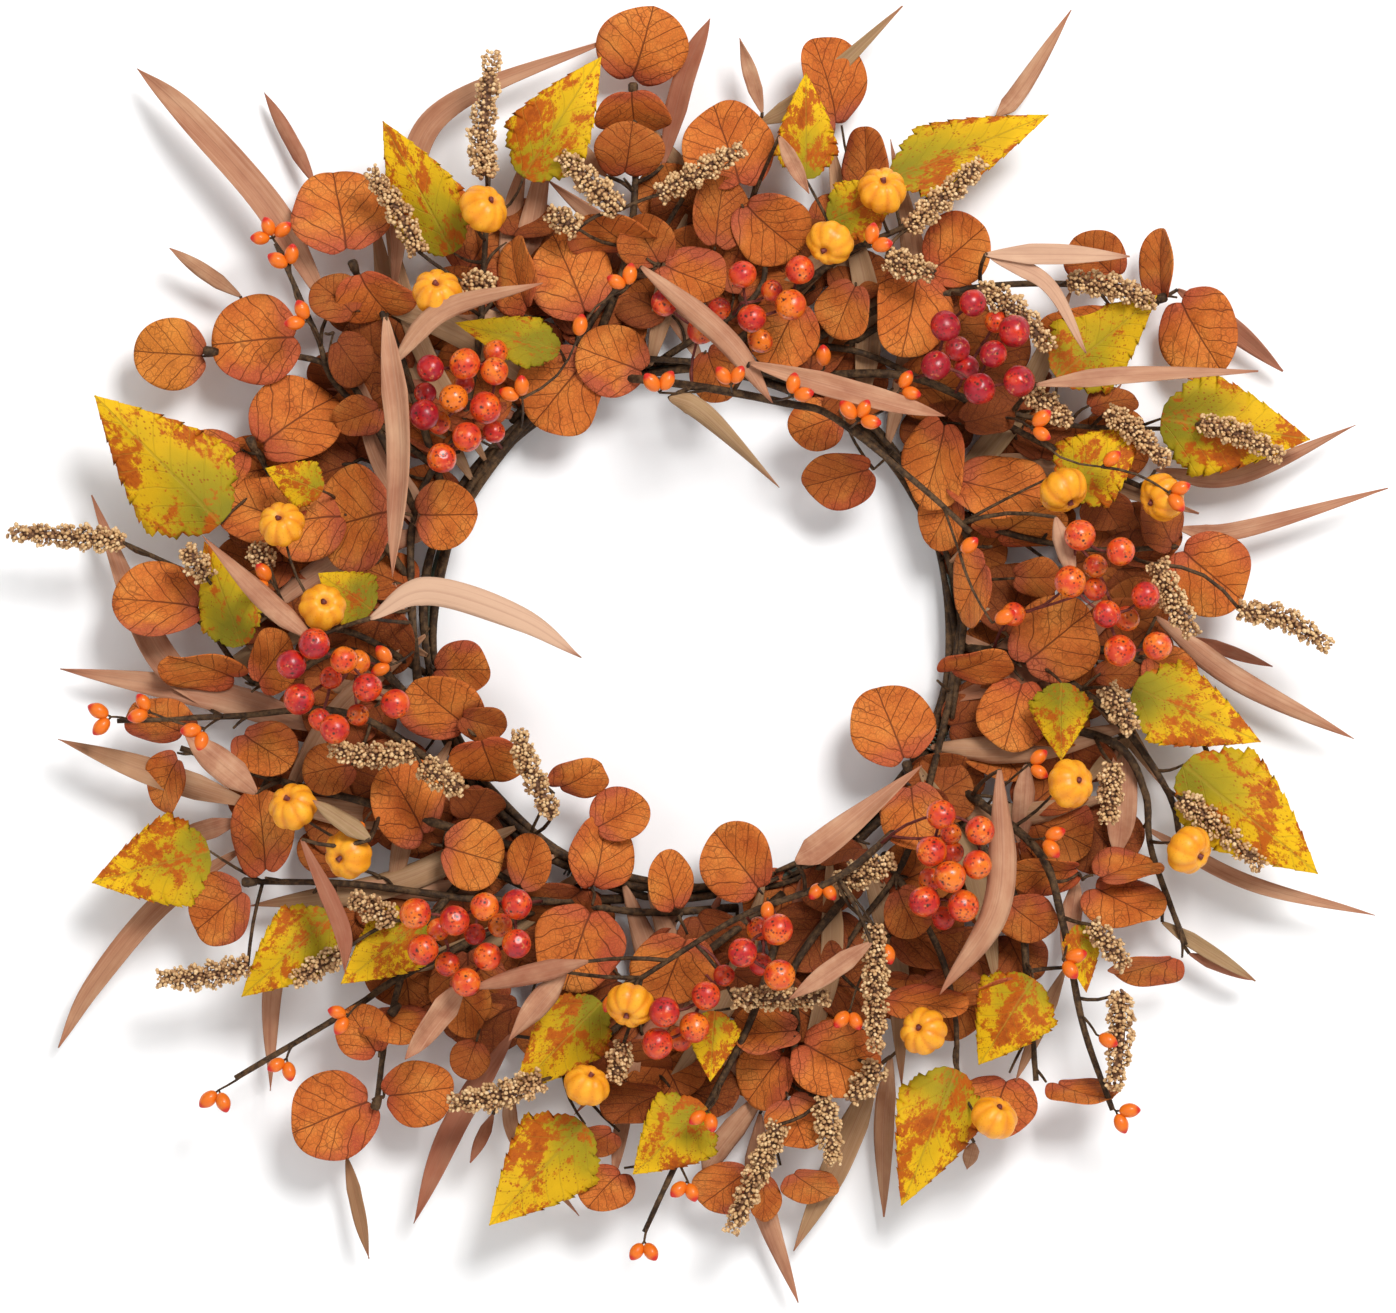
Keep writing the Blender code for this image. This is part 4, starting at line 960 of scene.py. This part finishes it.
def blade_look():
    """Dusty pink-brown cloth, softly streaked along the blade, paler or more olive by leaf."""
    look = Look("blade_cloth", 0.62)
    look.fix(CLOTH_SHEEN)
    flat = look.surface()
    tone, seed, other = look.tone(0, 1, 2)
    place = look.shifted(flat, seed)
    split = look.node("ShaderNodeSeparateXYZ", {0: flat}).outputs
    streaks = look.noise(look.stretched(place, (22.0, 1.2, 1.0)), 1.0, 4.0)
    patches = look.noise(look.stretched(place, (1.2, 4.5, 1.0)), 1.0, 4.0)
    color = look.ramp(patches, (0.3, (0.33, 0.13, 0.070)), (0.52, (0.43, 0.205, 0.115)),
                      (0.72, (0.52, 0.29, 0.170)))
    color = look.mix(look.span(tone, 0.5, 0.05, 0.0, 0.85), color, (0.62, 0.40, 0.27))
    # more olive and darker for high tones: the olive of some listed blades, and painted shade on the
    # hidden blades
    color = look.mix(look.span(tone, 0.5, 0.95, 0.0, 0.8), color, (0.28, 0.19, 0.085))
    color = look.mix(look.span(streaks, 0.45, 0.7, 0.0, 0.22), color, (0.60, 0.38, 0.26))
    color = look.mix(look.span(streaks, 0.45, 0.25, 0.0, 0.28), color, (0.27, 0.11, 0.07))
    ends = look.span(look.math("MULTIPLY_ADD", patches, 0.25, split[1]), 0.95, 1.15, 0.0, 0.6)
    color = look.mix(ends, color, (0.33, 0.10, 0.05))
    color = look.mix(look.span(other, 0.84, 0.9, 0.0, 0.6), color, (0.24, 0.055, 0.028))
    side = look.math("ABSOLUTE", look.math("SUBTRACT", split[0], 0.5))
    line = look.span(side, 0.0, 0.05, 0.25, 0.0)
    color = look.mix(line, color, (0.24, 0.10, 0.06))
    return look.finish(color, look.math("MULTIPLY_ADD", line, -1.0, streaks), 0.4, 0.5)


def berry_look():
    """Lacquered foam: orange to crimson, darker flecks and a dark blossom end."""
    look = Look("berry_lacquer", 0.3)
    place = look.places()
    tone, end = look.tone(0, 2)
    clouds = look.noise(place, 120.0, 3.0)
    level = look.math("MULTIPLY_ADD", look.math("SUBTRACT", clouds, 0.5), 2.1, tone)
    color = look.ramp(level, (0.05, (0.74, 0.165, 0.010)), (0.4, (0.63, 0.055, 0.008)),
                      (0.7, (0.48, 0.016, 0.010)), (1.0, (0.32, 0.006, 0.016)))
    flecks = look.span(look.cells(place, 620.0, "F1"), 0.40, 0.26)
    flecks = look.math("MULTIPLY", flecks, look.span(look.noise(place, 260.0), 0.38, 0.55))
    color = look.mix(look.math("MULTIPLY", flecks, 0.85), color, (0.13, 0.008, 0.006))
    pale = look.span(look.noise(place, 420.0, 2.0), 0.6, 0.72, 0.0, 0.35)
    color = look.mix(pale, color, (0.90, 0.36, 0.10))
    color = look.mix(look.span(end, 0.55, 0.85), color, (0.05, 0.018, 0.010))
    look.fix({"Coat Weight": 0.2, "Coat Roughness": 0.2, "Specular IOR Level": 0.35})
    look.link(look.span(clouds, 0.3, 0.7, 0.26, 0.42), "Roughness")
    return look.finish(color, look.noise(place, 500.0, 3.0), 0.25, 0.5)


def pumpkin_look():
    """Satin coat over foam: yellow-orange, deeper orange in the grooves and round the stub."""
    look = Look("pumpkin_coat", 0.42)
    place = look.places()
    groove, end = look.tone(0, 2)
    clouds = look.noise(place, 140.0, 4.0)
    color = look.ramp(clouds, (0.3, (0.76, 0.26, 0.008)), (0.55, (0.83, 0.34, 0.013)),
                      (0.75, (0.87, 0.41, 0.024)))
    color = look.mix(look.span(groove, 0.05, 0.9, 0.0, 0.65), color, (0.68, 0.19, 0.006))
    color = look.mix(look.span(end, 0.35, 0.95, 0.0, 0.7), color, (0.52, 0.12, 0.008))
    flecks = look.span(look.cells(place, 700.0, "F1"), 0.3, 0.18, 0.0, 0.25)
    color = look.mix(flecks, color, (0.45, 0.12, 0.01))
    look.fix({"Coat Weight": 0.1, "Coat Roughness": 0.3, "Specular IOR Level": 0.3})
    look.link(look.span(clouds, 0.3, 0.7, 0.36, 0.52), "Roughness")
    return look.finish(color, look.noise(place, 600.0, 3.0), 0.25, 0.6)


def bud_look():
    """Satin coat over foam: orange, and red to the tip."""
    look = Look("bud_coat", 0.38)
    place = look.places()
    (tip,) = look.tone(0)
    color = look.mix(look.noise(place, 240.0), (0.68, 0.11, 0.006), (0.80, 0.19, 0.010))
    color = look.mix(look.span(tip, 0.03, 0.55), color, (0.56, 0.018, 0.008))
    look.fix({"Coat Weight": 0.15, "Specular IOR Level": 0.3})
    return look.finish(color, look.noise(place, 700.0, 3.0), 0.2, 0.5)


def bead_look():
    """Seeds from dark brown to straw by their tone, whose dark end is partly painted shade on the deeper
    seeds, dusted with brown.
    """
    look = Look("grain_beads", 0.6)
    (pick,) = look.tone(0)
    color = look.ramp(pick, (0.0, (0.10, 0.038, 0.014)), (0.32, (0.38, 0.19, 0.075)),
                      (0.6, (0.66, 0.41, 0.18)), (1.0, (0.84, 0.61, 0.34)))
    dust = look.noise(look.places(), 1500.0, 2.0)
    color = look.mix(look.span(dust, 0.45, 0.7, 0.0, 0.4), color, (0.30, 0.14, 0.06))
    return look.finish(color, dust, 0.15, 0.5)


def bark_look(name, dark, light, roughness=0.7):
    """Floral tape wound on wire: short ridges round the stem, with a painted highlight on top of them.
    """
    look = Look(name, roughness)
    place = look.places()
    ridges = look.noise(place, 420.0, 4.0, 0.7)
    clouds = look.noise(place, 60.0, 3.0)
    # paler on the ridge tops, a painted highlight, and in random clouds
    color = look.mix(look.span(look.math("MULTIPLY_ADD", clouds, 0.5, ridges), 0.62, 0.95), dark, light)
    look.link(look.span(ridges, 0.3, 0.7, roughness - 0.15, roughness + 0.15), "Roughness")
    look.fix({"Specular IOR Level": 0.2})
    return look.finish(color, ridges, 0.5, 0.9)


def coated(name, roughness, dark, light):
    """Foam fruit wire or core: one colour, uneven and matt."""
    look = Look(name, roughness)
    clouds = look.noise(look.places(), 300.0, 4.0, 0.7)
    return look.finish(look.mix(look.span(clouds, 0.35, 0.7), dark, light), clouds, 0.25, 0.7)


def metal_look(name, dark, light, roughness):
    """Wire under a thin green-brown coat, scuffed here and there."""
    look = Look(name, roughness)
    scuffs = look.noise(look.places(), 180.0, 5.0, 0.7)
    look.link(look.span(scuffs, 0.5, 0.7, 0.2, 0.8), "Metallic")
    return look.finish(look.mix(look.span(scuffs, 0.55, 0.7), dark, light), scuffs, 0.1, 0.4)


def wall_look():
    """A white wall that shows only its front."""
    look = Look("white_wall", 0.9)
    paint = look.noise(look.places(), 30.0)
    look.link(look.mix(paint, (0.93, 0.93, 0.93), (0.96, 0.96, 0.96)), "Base Color")
    back = look.node("ShaderNodeNewGeometry").outputs["Backfacing"]
    look.link(look.math("SUBTRACT", 1.0, back), "Alpha")
    return look.material


EUCALYPTUS_CLOTH = eucalyptus_look()
TOOTHED_CLOTH = birch_look()
BLADE_CLOTH = blade_look()
BERRY_LACQUER = berry_look()
PUMPKIN_COAT = pumpkin_look()
BUD_COAT = bud_look()
GRAIN_BEADS = bead_look()
# the grain core's dark brown is painted shade, seen in the gaps between the seeds
GRAIN_CORE = coated("grain_core", 0.8, (0.10, 0.04, 0.018), (0.20, 0.09, 0.04))
STUB_COAT = coated("stub_coat", 0.6, (0.10, 0.012, 0.010), (0.24, 0.045, 0.025))
STEM_TAPE = bark_look("stem_tape", (0.030, 0.015, 0.007), (0.12, 0.066, 0.030))
BERRY_WIRE = bark_look("berry_wire", (0.10, 0.018, 0.014), (0.22, 0.05, 0.035), 0.6)
HOOP_WIRE = metal_look("hoop_wire", (0.035, 0.045, 0.025), (0.25, 0.24, 0.22), 0.45)
BINDING_WIRE = metal_look("binding_wire", (0.05, 0.06, 0.035), (0.35, 0.34, 0.31), 0.4)


# The picks


def hidden_leaves(count):
    """Leaves close round the hoop, which fill the gaps between the ones in front; their high tones
    darken them as painted shade deep in the wreath.
    """
    rows = []
    for number in range(count):
        angle = math.tau * (number + DRAW.uniform(-0.3, 0.3)) / count
        radius = DRAW.uniform(128, 206)
        x, z = radius * math.cos(angle), radius * math.sin(angle)
        way = angle + DRAW.uniform(-1.3, 1.3)
        wide = DRAW.uniform(28, 40)
        tall = wide * DRAW.uniform(0.6, 1.0)
        stalk = (x - math.cos(way) * wide * 0.48, z - math.sin(way) * wide * 0.48)
        # tones from 0.45 up: painted shade, which darkens these leaves as if they lay in shade behind
        # the front ones
        rows.append(((x, z, wide, tall, *stalk, DRAW.uniform(0.45, 1.0)), -DRAW.uniform(3, 12) * MM))
    return rows


def build_round_leaves():
    groups = grouped("eucalyptus_pick", EUCALYPTUS, lambda row: row[:2])
    for row, y in hidden_leaves(HIDDEN_LEAVES):
        groups[find("eucalyptus_pick", *row[:2])[0]].append((row, y))
    for node, rows in groups.items():
        leaves, places = Shell(), []
        for row, y in rows:
            leaves.make(round_leaf, row, y)
            places.append(at(row[4], row[5], y + 0.6 * MM))
        leaves.finish("eucalyptus_leaves", node, "eucalyptus", EUCALYPTUS_CLOTH, CLOTH)
        add_twigs(places, "eucalyptus_twigs", node, STEM_TAPE)


def build_toothed_leaves():
    for node, rows in grouped("birch_pick", BIRCH, lambda row: middle_of(row[:2])).items():
        leaves, places = Shell(), []
        for row, y in rows:
            leaves.make(toothed_leaf, row, y)
            places.append(at(*row[0], y))
        leaves.finish("toothed_leaves", node, "birch", TOOTHED_CLOTH, CLOTH)
        add_twigs(places, "toothed_twigs", node, STEM_TAPE)


def middle_of(places):
    """The place halfway along a row of places, where the CAD item surely lies."""
    line = smooth_line([Vector((x, 0, z)) for x, z in places], 3)
    return line[1].x, line[1].z


def hidden_blades(count):
    """Blades low in the wreath that run out slantwise between the listed ones."""
    rows = []
    for number in range(count):
        angle = 360 * (number + DRAW.uniform(-0.3, 0.3)) / count
        swing = DRAW.choice((-1, 1)) * DRAW.uniform(14, 26)
        reach = DRAW.uniform(70, 118)
        points = []
        for share in (0, 0.5, 1):
            way = direction(angle + swing * share)
            radius = 118 + reach * share
            points.append((way.x * radius, way.z * radius))
        # tones 0.1 to 0.7 make these blades darker and more olive than most listed ones: partly painted
        # shade deep in the wreath
        rows.append(((points, DRAW.uniform(8, 12), DRAW.uniform(0.1, 0.7)), -DRAW.uniform(4, 10) * MM))
    return rows


def build_blades(kind, rows, name, lean, hidden=0):
    groups = grouped(kind, rows, lambda row: middle_of(row[0]))
    for row, y in hidden_blades(hidden):
        groups[find(kind, *middle_of(row[0]))[0]].append((row, y))
    for node, group in groups.items():
        blades, places = Shell(), []
        for row, y in group:
            blades.make(blade_leaf, row, y, DRAW.uniform(-lean, lean))
            places.append(at(*row[0][0], y))
        blades.finish(name, node, "blade", BLADE_CLOTH, CLOTH)
        add_twigs(places, f"{name}_twigs", node, STEM_TAPE, 1.1, 0.8)


def build_grain():
    for node, rows in grouped("grain_pick", GRAIN, middle_of).items():
        beads, cores, places = Shell(), Shell(), []
        for row, y in rows:
            points = [at(*place, y + GRAIN_WIDTH / 2) for place in row]
            grain_spike(beads, cores, points, GRAIN_WIDTH * DRAW.uniform(0.95, 1.12))
            places.append(points[0])
        beads.finish("grain_beads", node, "grain", GRAIN_BEADS)
        cores.finish("grain_cores", node, "grain", GRAIN_CORE)
        add_twigs(places, "grain_twigs", node, STEM_TAPE, 0.9, 0.8)


def build_pumpkins():
    for node, rows in grouped("pumpkin_pick", PUMPKINS, lambda row: row[:2]).items():
        fruits, stubs, places = Shell(), Shell(), []
        for row, y in rows:
            place, wide = fruits.make(pumpkin, row, y + PUMPKIN_DEPTH / 2)
            stubs.make(pumpkin_stub, place, wide)
            places.append(place @ Vector((0, 0, -0.75 * wide)))
        fruits.finish("pumpkins", node, "pumpkin", PUMPKIN_COAT)
        stubs.finish("pumpkin_stubs", node, "pumpkin", STUB_COAT)
        add_twigs(places, "pumpkin_twigs", node, STEM_TAPE)


def build_buds():
    for node, rows in grouped("bud_pick", BUDS, lambda row: row[:2]).items():
        buds, twigs, places = Shell(), Shell(), []
        for (x, z, count), y in rows:
            start = at(x, z, y + 4 * MM)
            away = start - CENTRE
            heading = math.degrees(math.atan2(away.z, away.x)) + DRAW.uniform(-35, 35)
            for number in range(count):
                way = direction(heading + (number - (count - 1) / 2) * 70)
                way += FRONT * DRAW.uniform(0.0, 0.5)
                way.normalize()
                end = start + way * BUD_WIRE
                twigs.make(add_rod, [start, start + way * BUD_WIRE / 2, end], [0.5 * MM] * 3, 5)
                buds.make(bud, end - way * 0.5 * MM, way, DRAW.uniform(8.6, 10.0) * MM)
            places.append(start)
        buds.finish("buds", node, "bud", BUD_COAT)
        add_twigs(places, "bud_twigs", node, STEM_TAPE, 0.7, 0.5, twigs)


def build_berries():
    for number, cluster in enumerate(BERRY_CLUSTERS):
        node = f"berry_pick_{number + 1}"
        fruits = Shell()
        smaller = [row[1:] for row in SMALL_BERRIES if row[0] == number]
        middle = sum((at(x, z) for x, z, tone in cluster), Vector()) / len(cluster)
        heart = Vector((middle.x, CENTRE.y - DEPTH * 0.35, middle.z))
        tips = [heart]
        for size, rows in ((BERRY_SIZE, cluster), (BERRY_SIZE * 0.8, smaller)):
            for x, z, tone in rows:
                y = front_of(node, x, z)
                radius = size / 2 * DRAW.uniform(0.92, 1.1)
                sunk = BERRY_SIZE / 2 if rows is cluster else BERRY_SIZE * 1.1
                centre = at(x, z, y + sunk)
                away = FRONT + direction(DRAW.uniform(0, 360)) * DRAW.uniform(0.2, 1.1)
                fruits.make(berry, centre, radius, tone, away)
                tips.append(centre - FRONT * radius * 0.8)
        fruits.finish("berries", node, "berry", BERRY_LACQUER)
        add_twigs(tips, "berry_wires", node, BERRY_WIRE, 0.8, 0.6)


def front_of(node, x, z):
    """The y of the front of one CAD pick at a place, or of its nearest point."""
    hit = search_tree(node).ray_cast(at(x, z, -AHEAD), -FRONT)[0]
    if hit is None:
        hit = search_tree(node).find_nearest(at(x, z, -BERRY_MIDDLE))[0]
    return hit.y - CENTRE.y


# Stems, hoop and bindings


def stem_centre_angle(node):
    """The angle in degrees of the middle of a CAD stem, from the average of its points."""
    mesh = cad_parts[node].data
    middle = sum((vert.co for vert in mesh.vertices), Vector()) / len(mesh.vertices)
    return math.degrees(math.atan2(middle.z - CENTRE.z, middle.x - CENTRE.x))


def add_strand(shell, start, end, turns, phase):
    """One strand of the bundle that winds along the hoop between two angles."""
    line = []
    for step in range(STRAND_STEPS + 1):
        share = step / STRAND_STEPS
        angle = math.radians(start + (end - start) * share)
        wind = phase + math.tau * turns * share
        out = Vector((math.cos(angle), 0, math.sin(angle)))
        spread = BUNDLE_RADIUS * (0.9 + 0.25 * math.sin(3.1 * wind))
        middle = CENTRE + FRONT * BUNDLE_RADIUS * 0.9
        place = middle + out * (HOOP_RADIUS + spread * math.cos(wind))
        line.append(place + FRONT * spread * math.sin(wind))
    ends = [abs(2 * step / STRAND_STEPS - 1) for step in range(STRAND_STEPS + 1)]
    shell.make(add_rod, line, [BUNDLE_RADIUS * 0.55 * (1.0 - 0.45 * end**3) for end in ends], 7)


def add_knob(shell, x, z, angle):
    """The trimmed end of a stem: a rounded, slightly thicker stump."""
    start = at(x, z, -DEPTH * 0.26)
    way = direction(angle) + FRONT * 0.25
    radii = [1.5 * MM, 1.9 * MM, 2.2 * MM, 2.3 * MM, 1.6 * MM]
    points = [start + way * length * MM for length in (-3, -1.4, 0.4, 2.4, 3.4)]
    shell.make(add_rod, points, radii, 9)


def build_stems():
    nodes = nodes_of("stem")
    angles = {node: stem_centre_angle(node) for node in nodes}
    shells = {node: Shell() for node in nodes}

    def nearest(point):
        here = math.degrees(math.atan2(point.z - CENTRE.z, point.x - CENTRE.x))
        return min(nodes, key=lambda node: abs((angles[node] - here + 180) % 360 - 180))

    for line in STEM_LINES:
        shell = shells[nearest(line[0])]
        scale = STEM_RADIUS * DRAW.uniform(0.75, 1.0)
        radii = [
            scale * (1 - 0.4 * step / STEM_STEPS) * DRAW.uniform(0.93, 1.07)
            for step in range(STEM_STEPS + 1)
        ]
        shell.make(add_rod, line, radii, 8)
    for knob in KNOBS:
        add_knob(shells[nearest(at(*knob[:2]))], *knob)
    for node, middle in angles.items():
        for number in range(STRANDS):
            reach = DRAW.uniform(40, 52)
            phase = math.tau * number / STRANDS
            add_strand(shells[node], middle - reach, middle + reach, DRAW.uniform(0.4, 0.9), phase)
        shells[node].finish("stems", node, "stem", STEM_TAPE)


def build_bindings():
    for node in nodes_of("binding_wire"):
        low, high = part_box(node)
        middle = (low + high) / 2
        angle = math.atan2(middle.z - CENTRE.z, middle.x - CENTRE.x)
        out = Vector((math.cos(angle), 0, math.sin(angle)))
        along = out.cross(FRONT)
        centre = CENTRE + out * HOOP_RADIUS + FRONT * BUNDLE_RADIUS * 0.9
        radius = BUNDLE_RADIUS * 1.75
        steps = BINDING_TURNS * 12
        line = []
        for step in range(steps + 1):
            turn = math.tau * step / 12
            place = centre + along * BINDING_REACH * (2 * step / steps - 1)
            line.append(place + (out * math.cos(turn) + FRONT * math.sin(turn)) * radius)
        shell = Shell()
        shell.make(add_rod, line, [0.45 * MM] * len(line), 6)
        shell.finish("binding", node, "wire", BINDING_WIRE)


def ring_of_wire(bm):
    thick = (HOOP_HIGH.y - HOOP_LOW.y) / 2
    place = Matrix.Translation(CENTRE + Vector((HOOP_RADIUS, 0, 0)))
    ring = bmesh.ops.create_circle(bm, segments=12, radius=thick, matrix=place)
    edges = list({edge for vert in ring["verts"] for edge in vert.link_edges})
    bmesh.ops.spin(bm, geom=edges, cent=CENTRE, axis=FRONT, angle=math.tau, steps=160, use_merge=True)
    bmesh.ops.recalc_face_normals(bm, faces=bm.faces)


def build_hoop():
    shell = Shell()
    shell.make(ring_of_wire)
    shell.finish("hoop", "wire_hoop", "wire", HOOP_WIRE)


# The stage


def build_stage():
    """A pale wall close behind the wreath and a floor well below it."""
    upright = Matrix.Rotation(math.radians(90), 4, "X")
    wall = stage_piece("wall", 3.0, Matrix.Translation(CENTRE - FRONT * WALL_GAP) @ upright)
    ground = CENTRE + Vector((0, -2.0, -1.2))
    floor = stage_piece("floor", 4.0, Matrix.Translation(ground))


def stage_piece(name, size, matrix):
    bm = bmesh.new()
    bmesh.ops.create_grid(bm, x_segments=1, y_segments=1, size=size, matrix=matrix)
    mesh = bpy.data.meshes.new(name)
    bm.to_mesh(mesh)
    bm.free()
    mesh.materials.append(WALL_PAINT)
    piece = bpy.data.objects.new(name, mesh)
    bpy.context.scene.collection.objects.link(piece)
    return piece


def add_light(name, place, size, power):
    data = bpy.data.lights.new(name, "AREA")
    data.size = size
    data.energy = power
    light = bpy.data.objects.new(name, data)
    light.location = place
    light.rotation_euler = (CENTRE - Vector(place)).to_track_quat("-Z", "Y").to_euler()
    bpy.context.scene.collection.objects.link(light)


def set_camera():
    data = bpy.data.cameras.new("camera")
    camera = bpy.data.objects.new("camera", data)
    camera.location = CENTRE + VIEW_OFFSET
    camera.rotation_euler = (math.radians(90), 0, 0)
    data.sensor_width = SENSOR
    data.lens = SENSOR * VIEW_DISTANCE / VIEW_WIDTH
    bpy.context.scene.collection.objects.link(camera)
    bpy.context.scene.camera = camera


def set_world():
    world = bpy.data.worlds.new("soft_light")
    world.use_nodes = True
    world.node_tree.nodes["Background"].inputs["Color"].default_value = (1, 1, 1, 1)
    world.node_tree.nodes["Background"].inputs["Strength"].default_value = 0.38
    bpy.context.scene.world = world
    bpy.context.scene.view_settings.view_transform = "Standard"


WALL_PAINT = wall_look()

build_hoop()
build_stems()
build_bindings()
build_blades("back_blade_pick", BACK_BLADES, "back_blades", 6 * MM, HIDDEN_BLADES)
build_round_leaves()
build_toothed_leaves()
build_grain()
build_pumpkins()
build_berries()
build_buds()
build_blades("front_blade_pick", FRONT_BLADES, "front_blades", 4 * MM)
build_stage()
add_light("key", CENTRE + Vector((0.7, -2.1, 1.1)), 0.8, 56)
add_light("fill", CENTRE + Vector((-1.4, -2.0, 0.2)), 1.6, 8)
set_camera()
set_world()
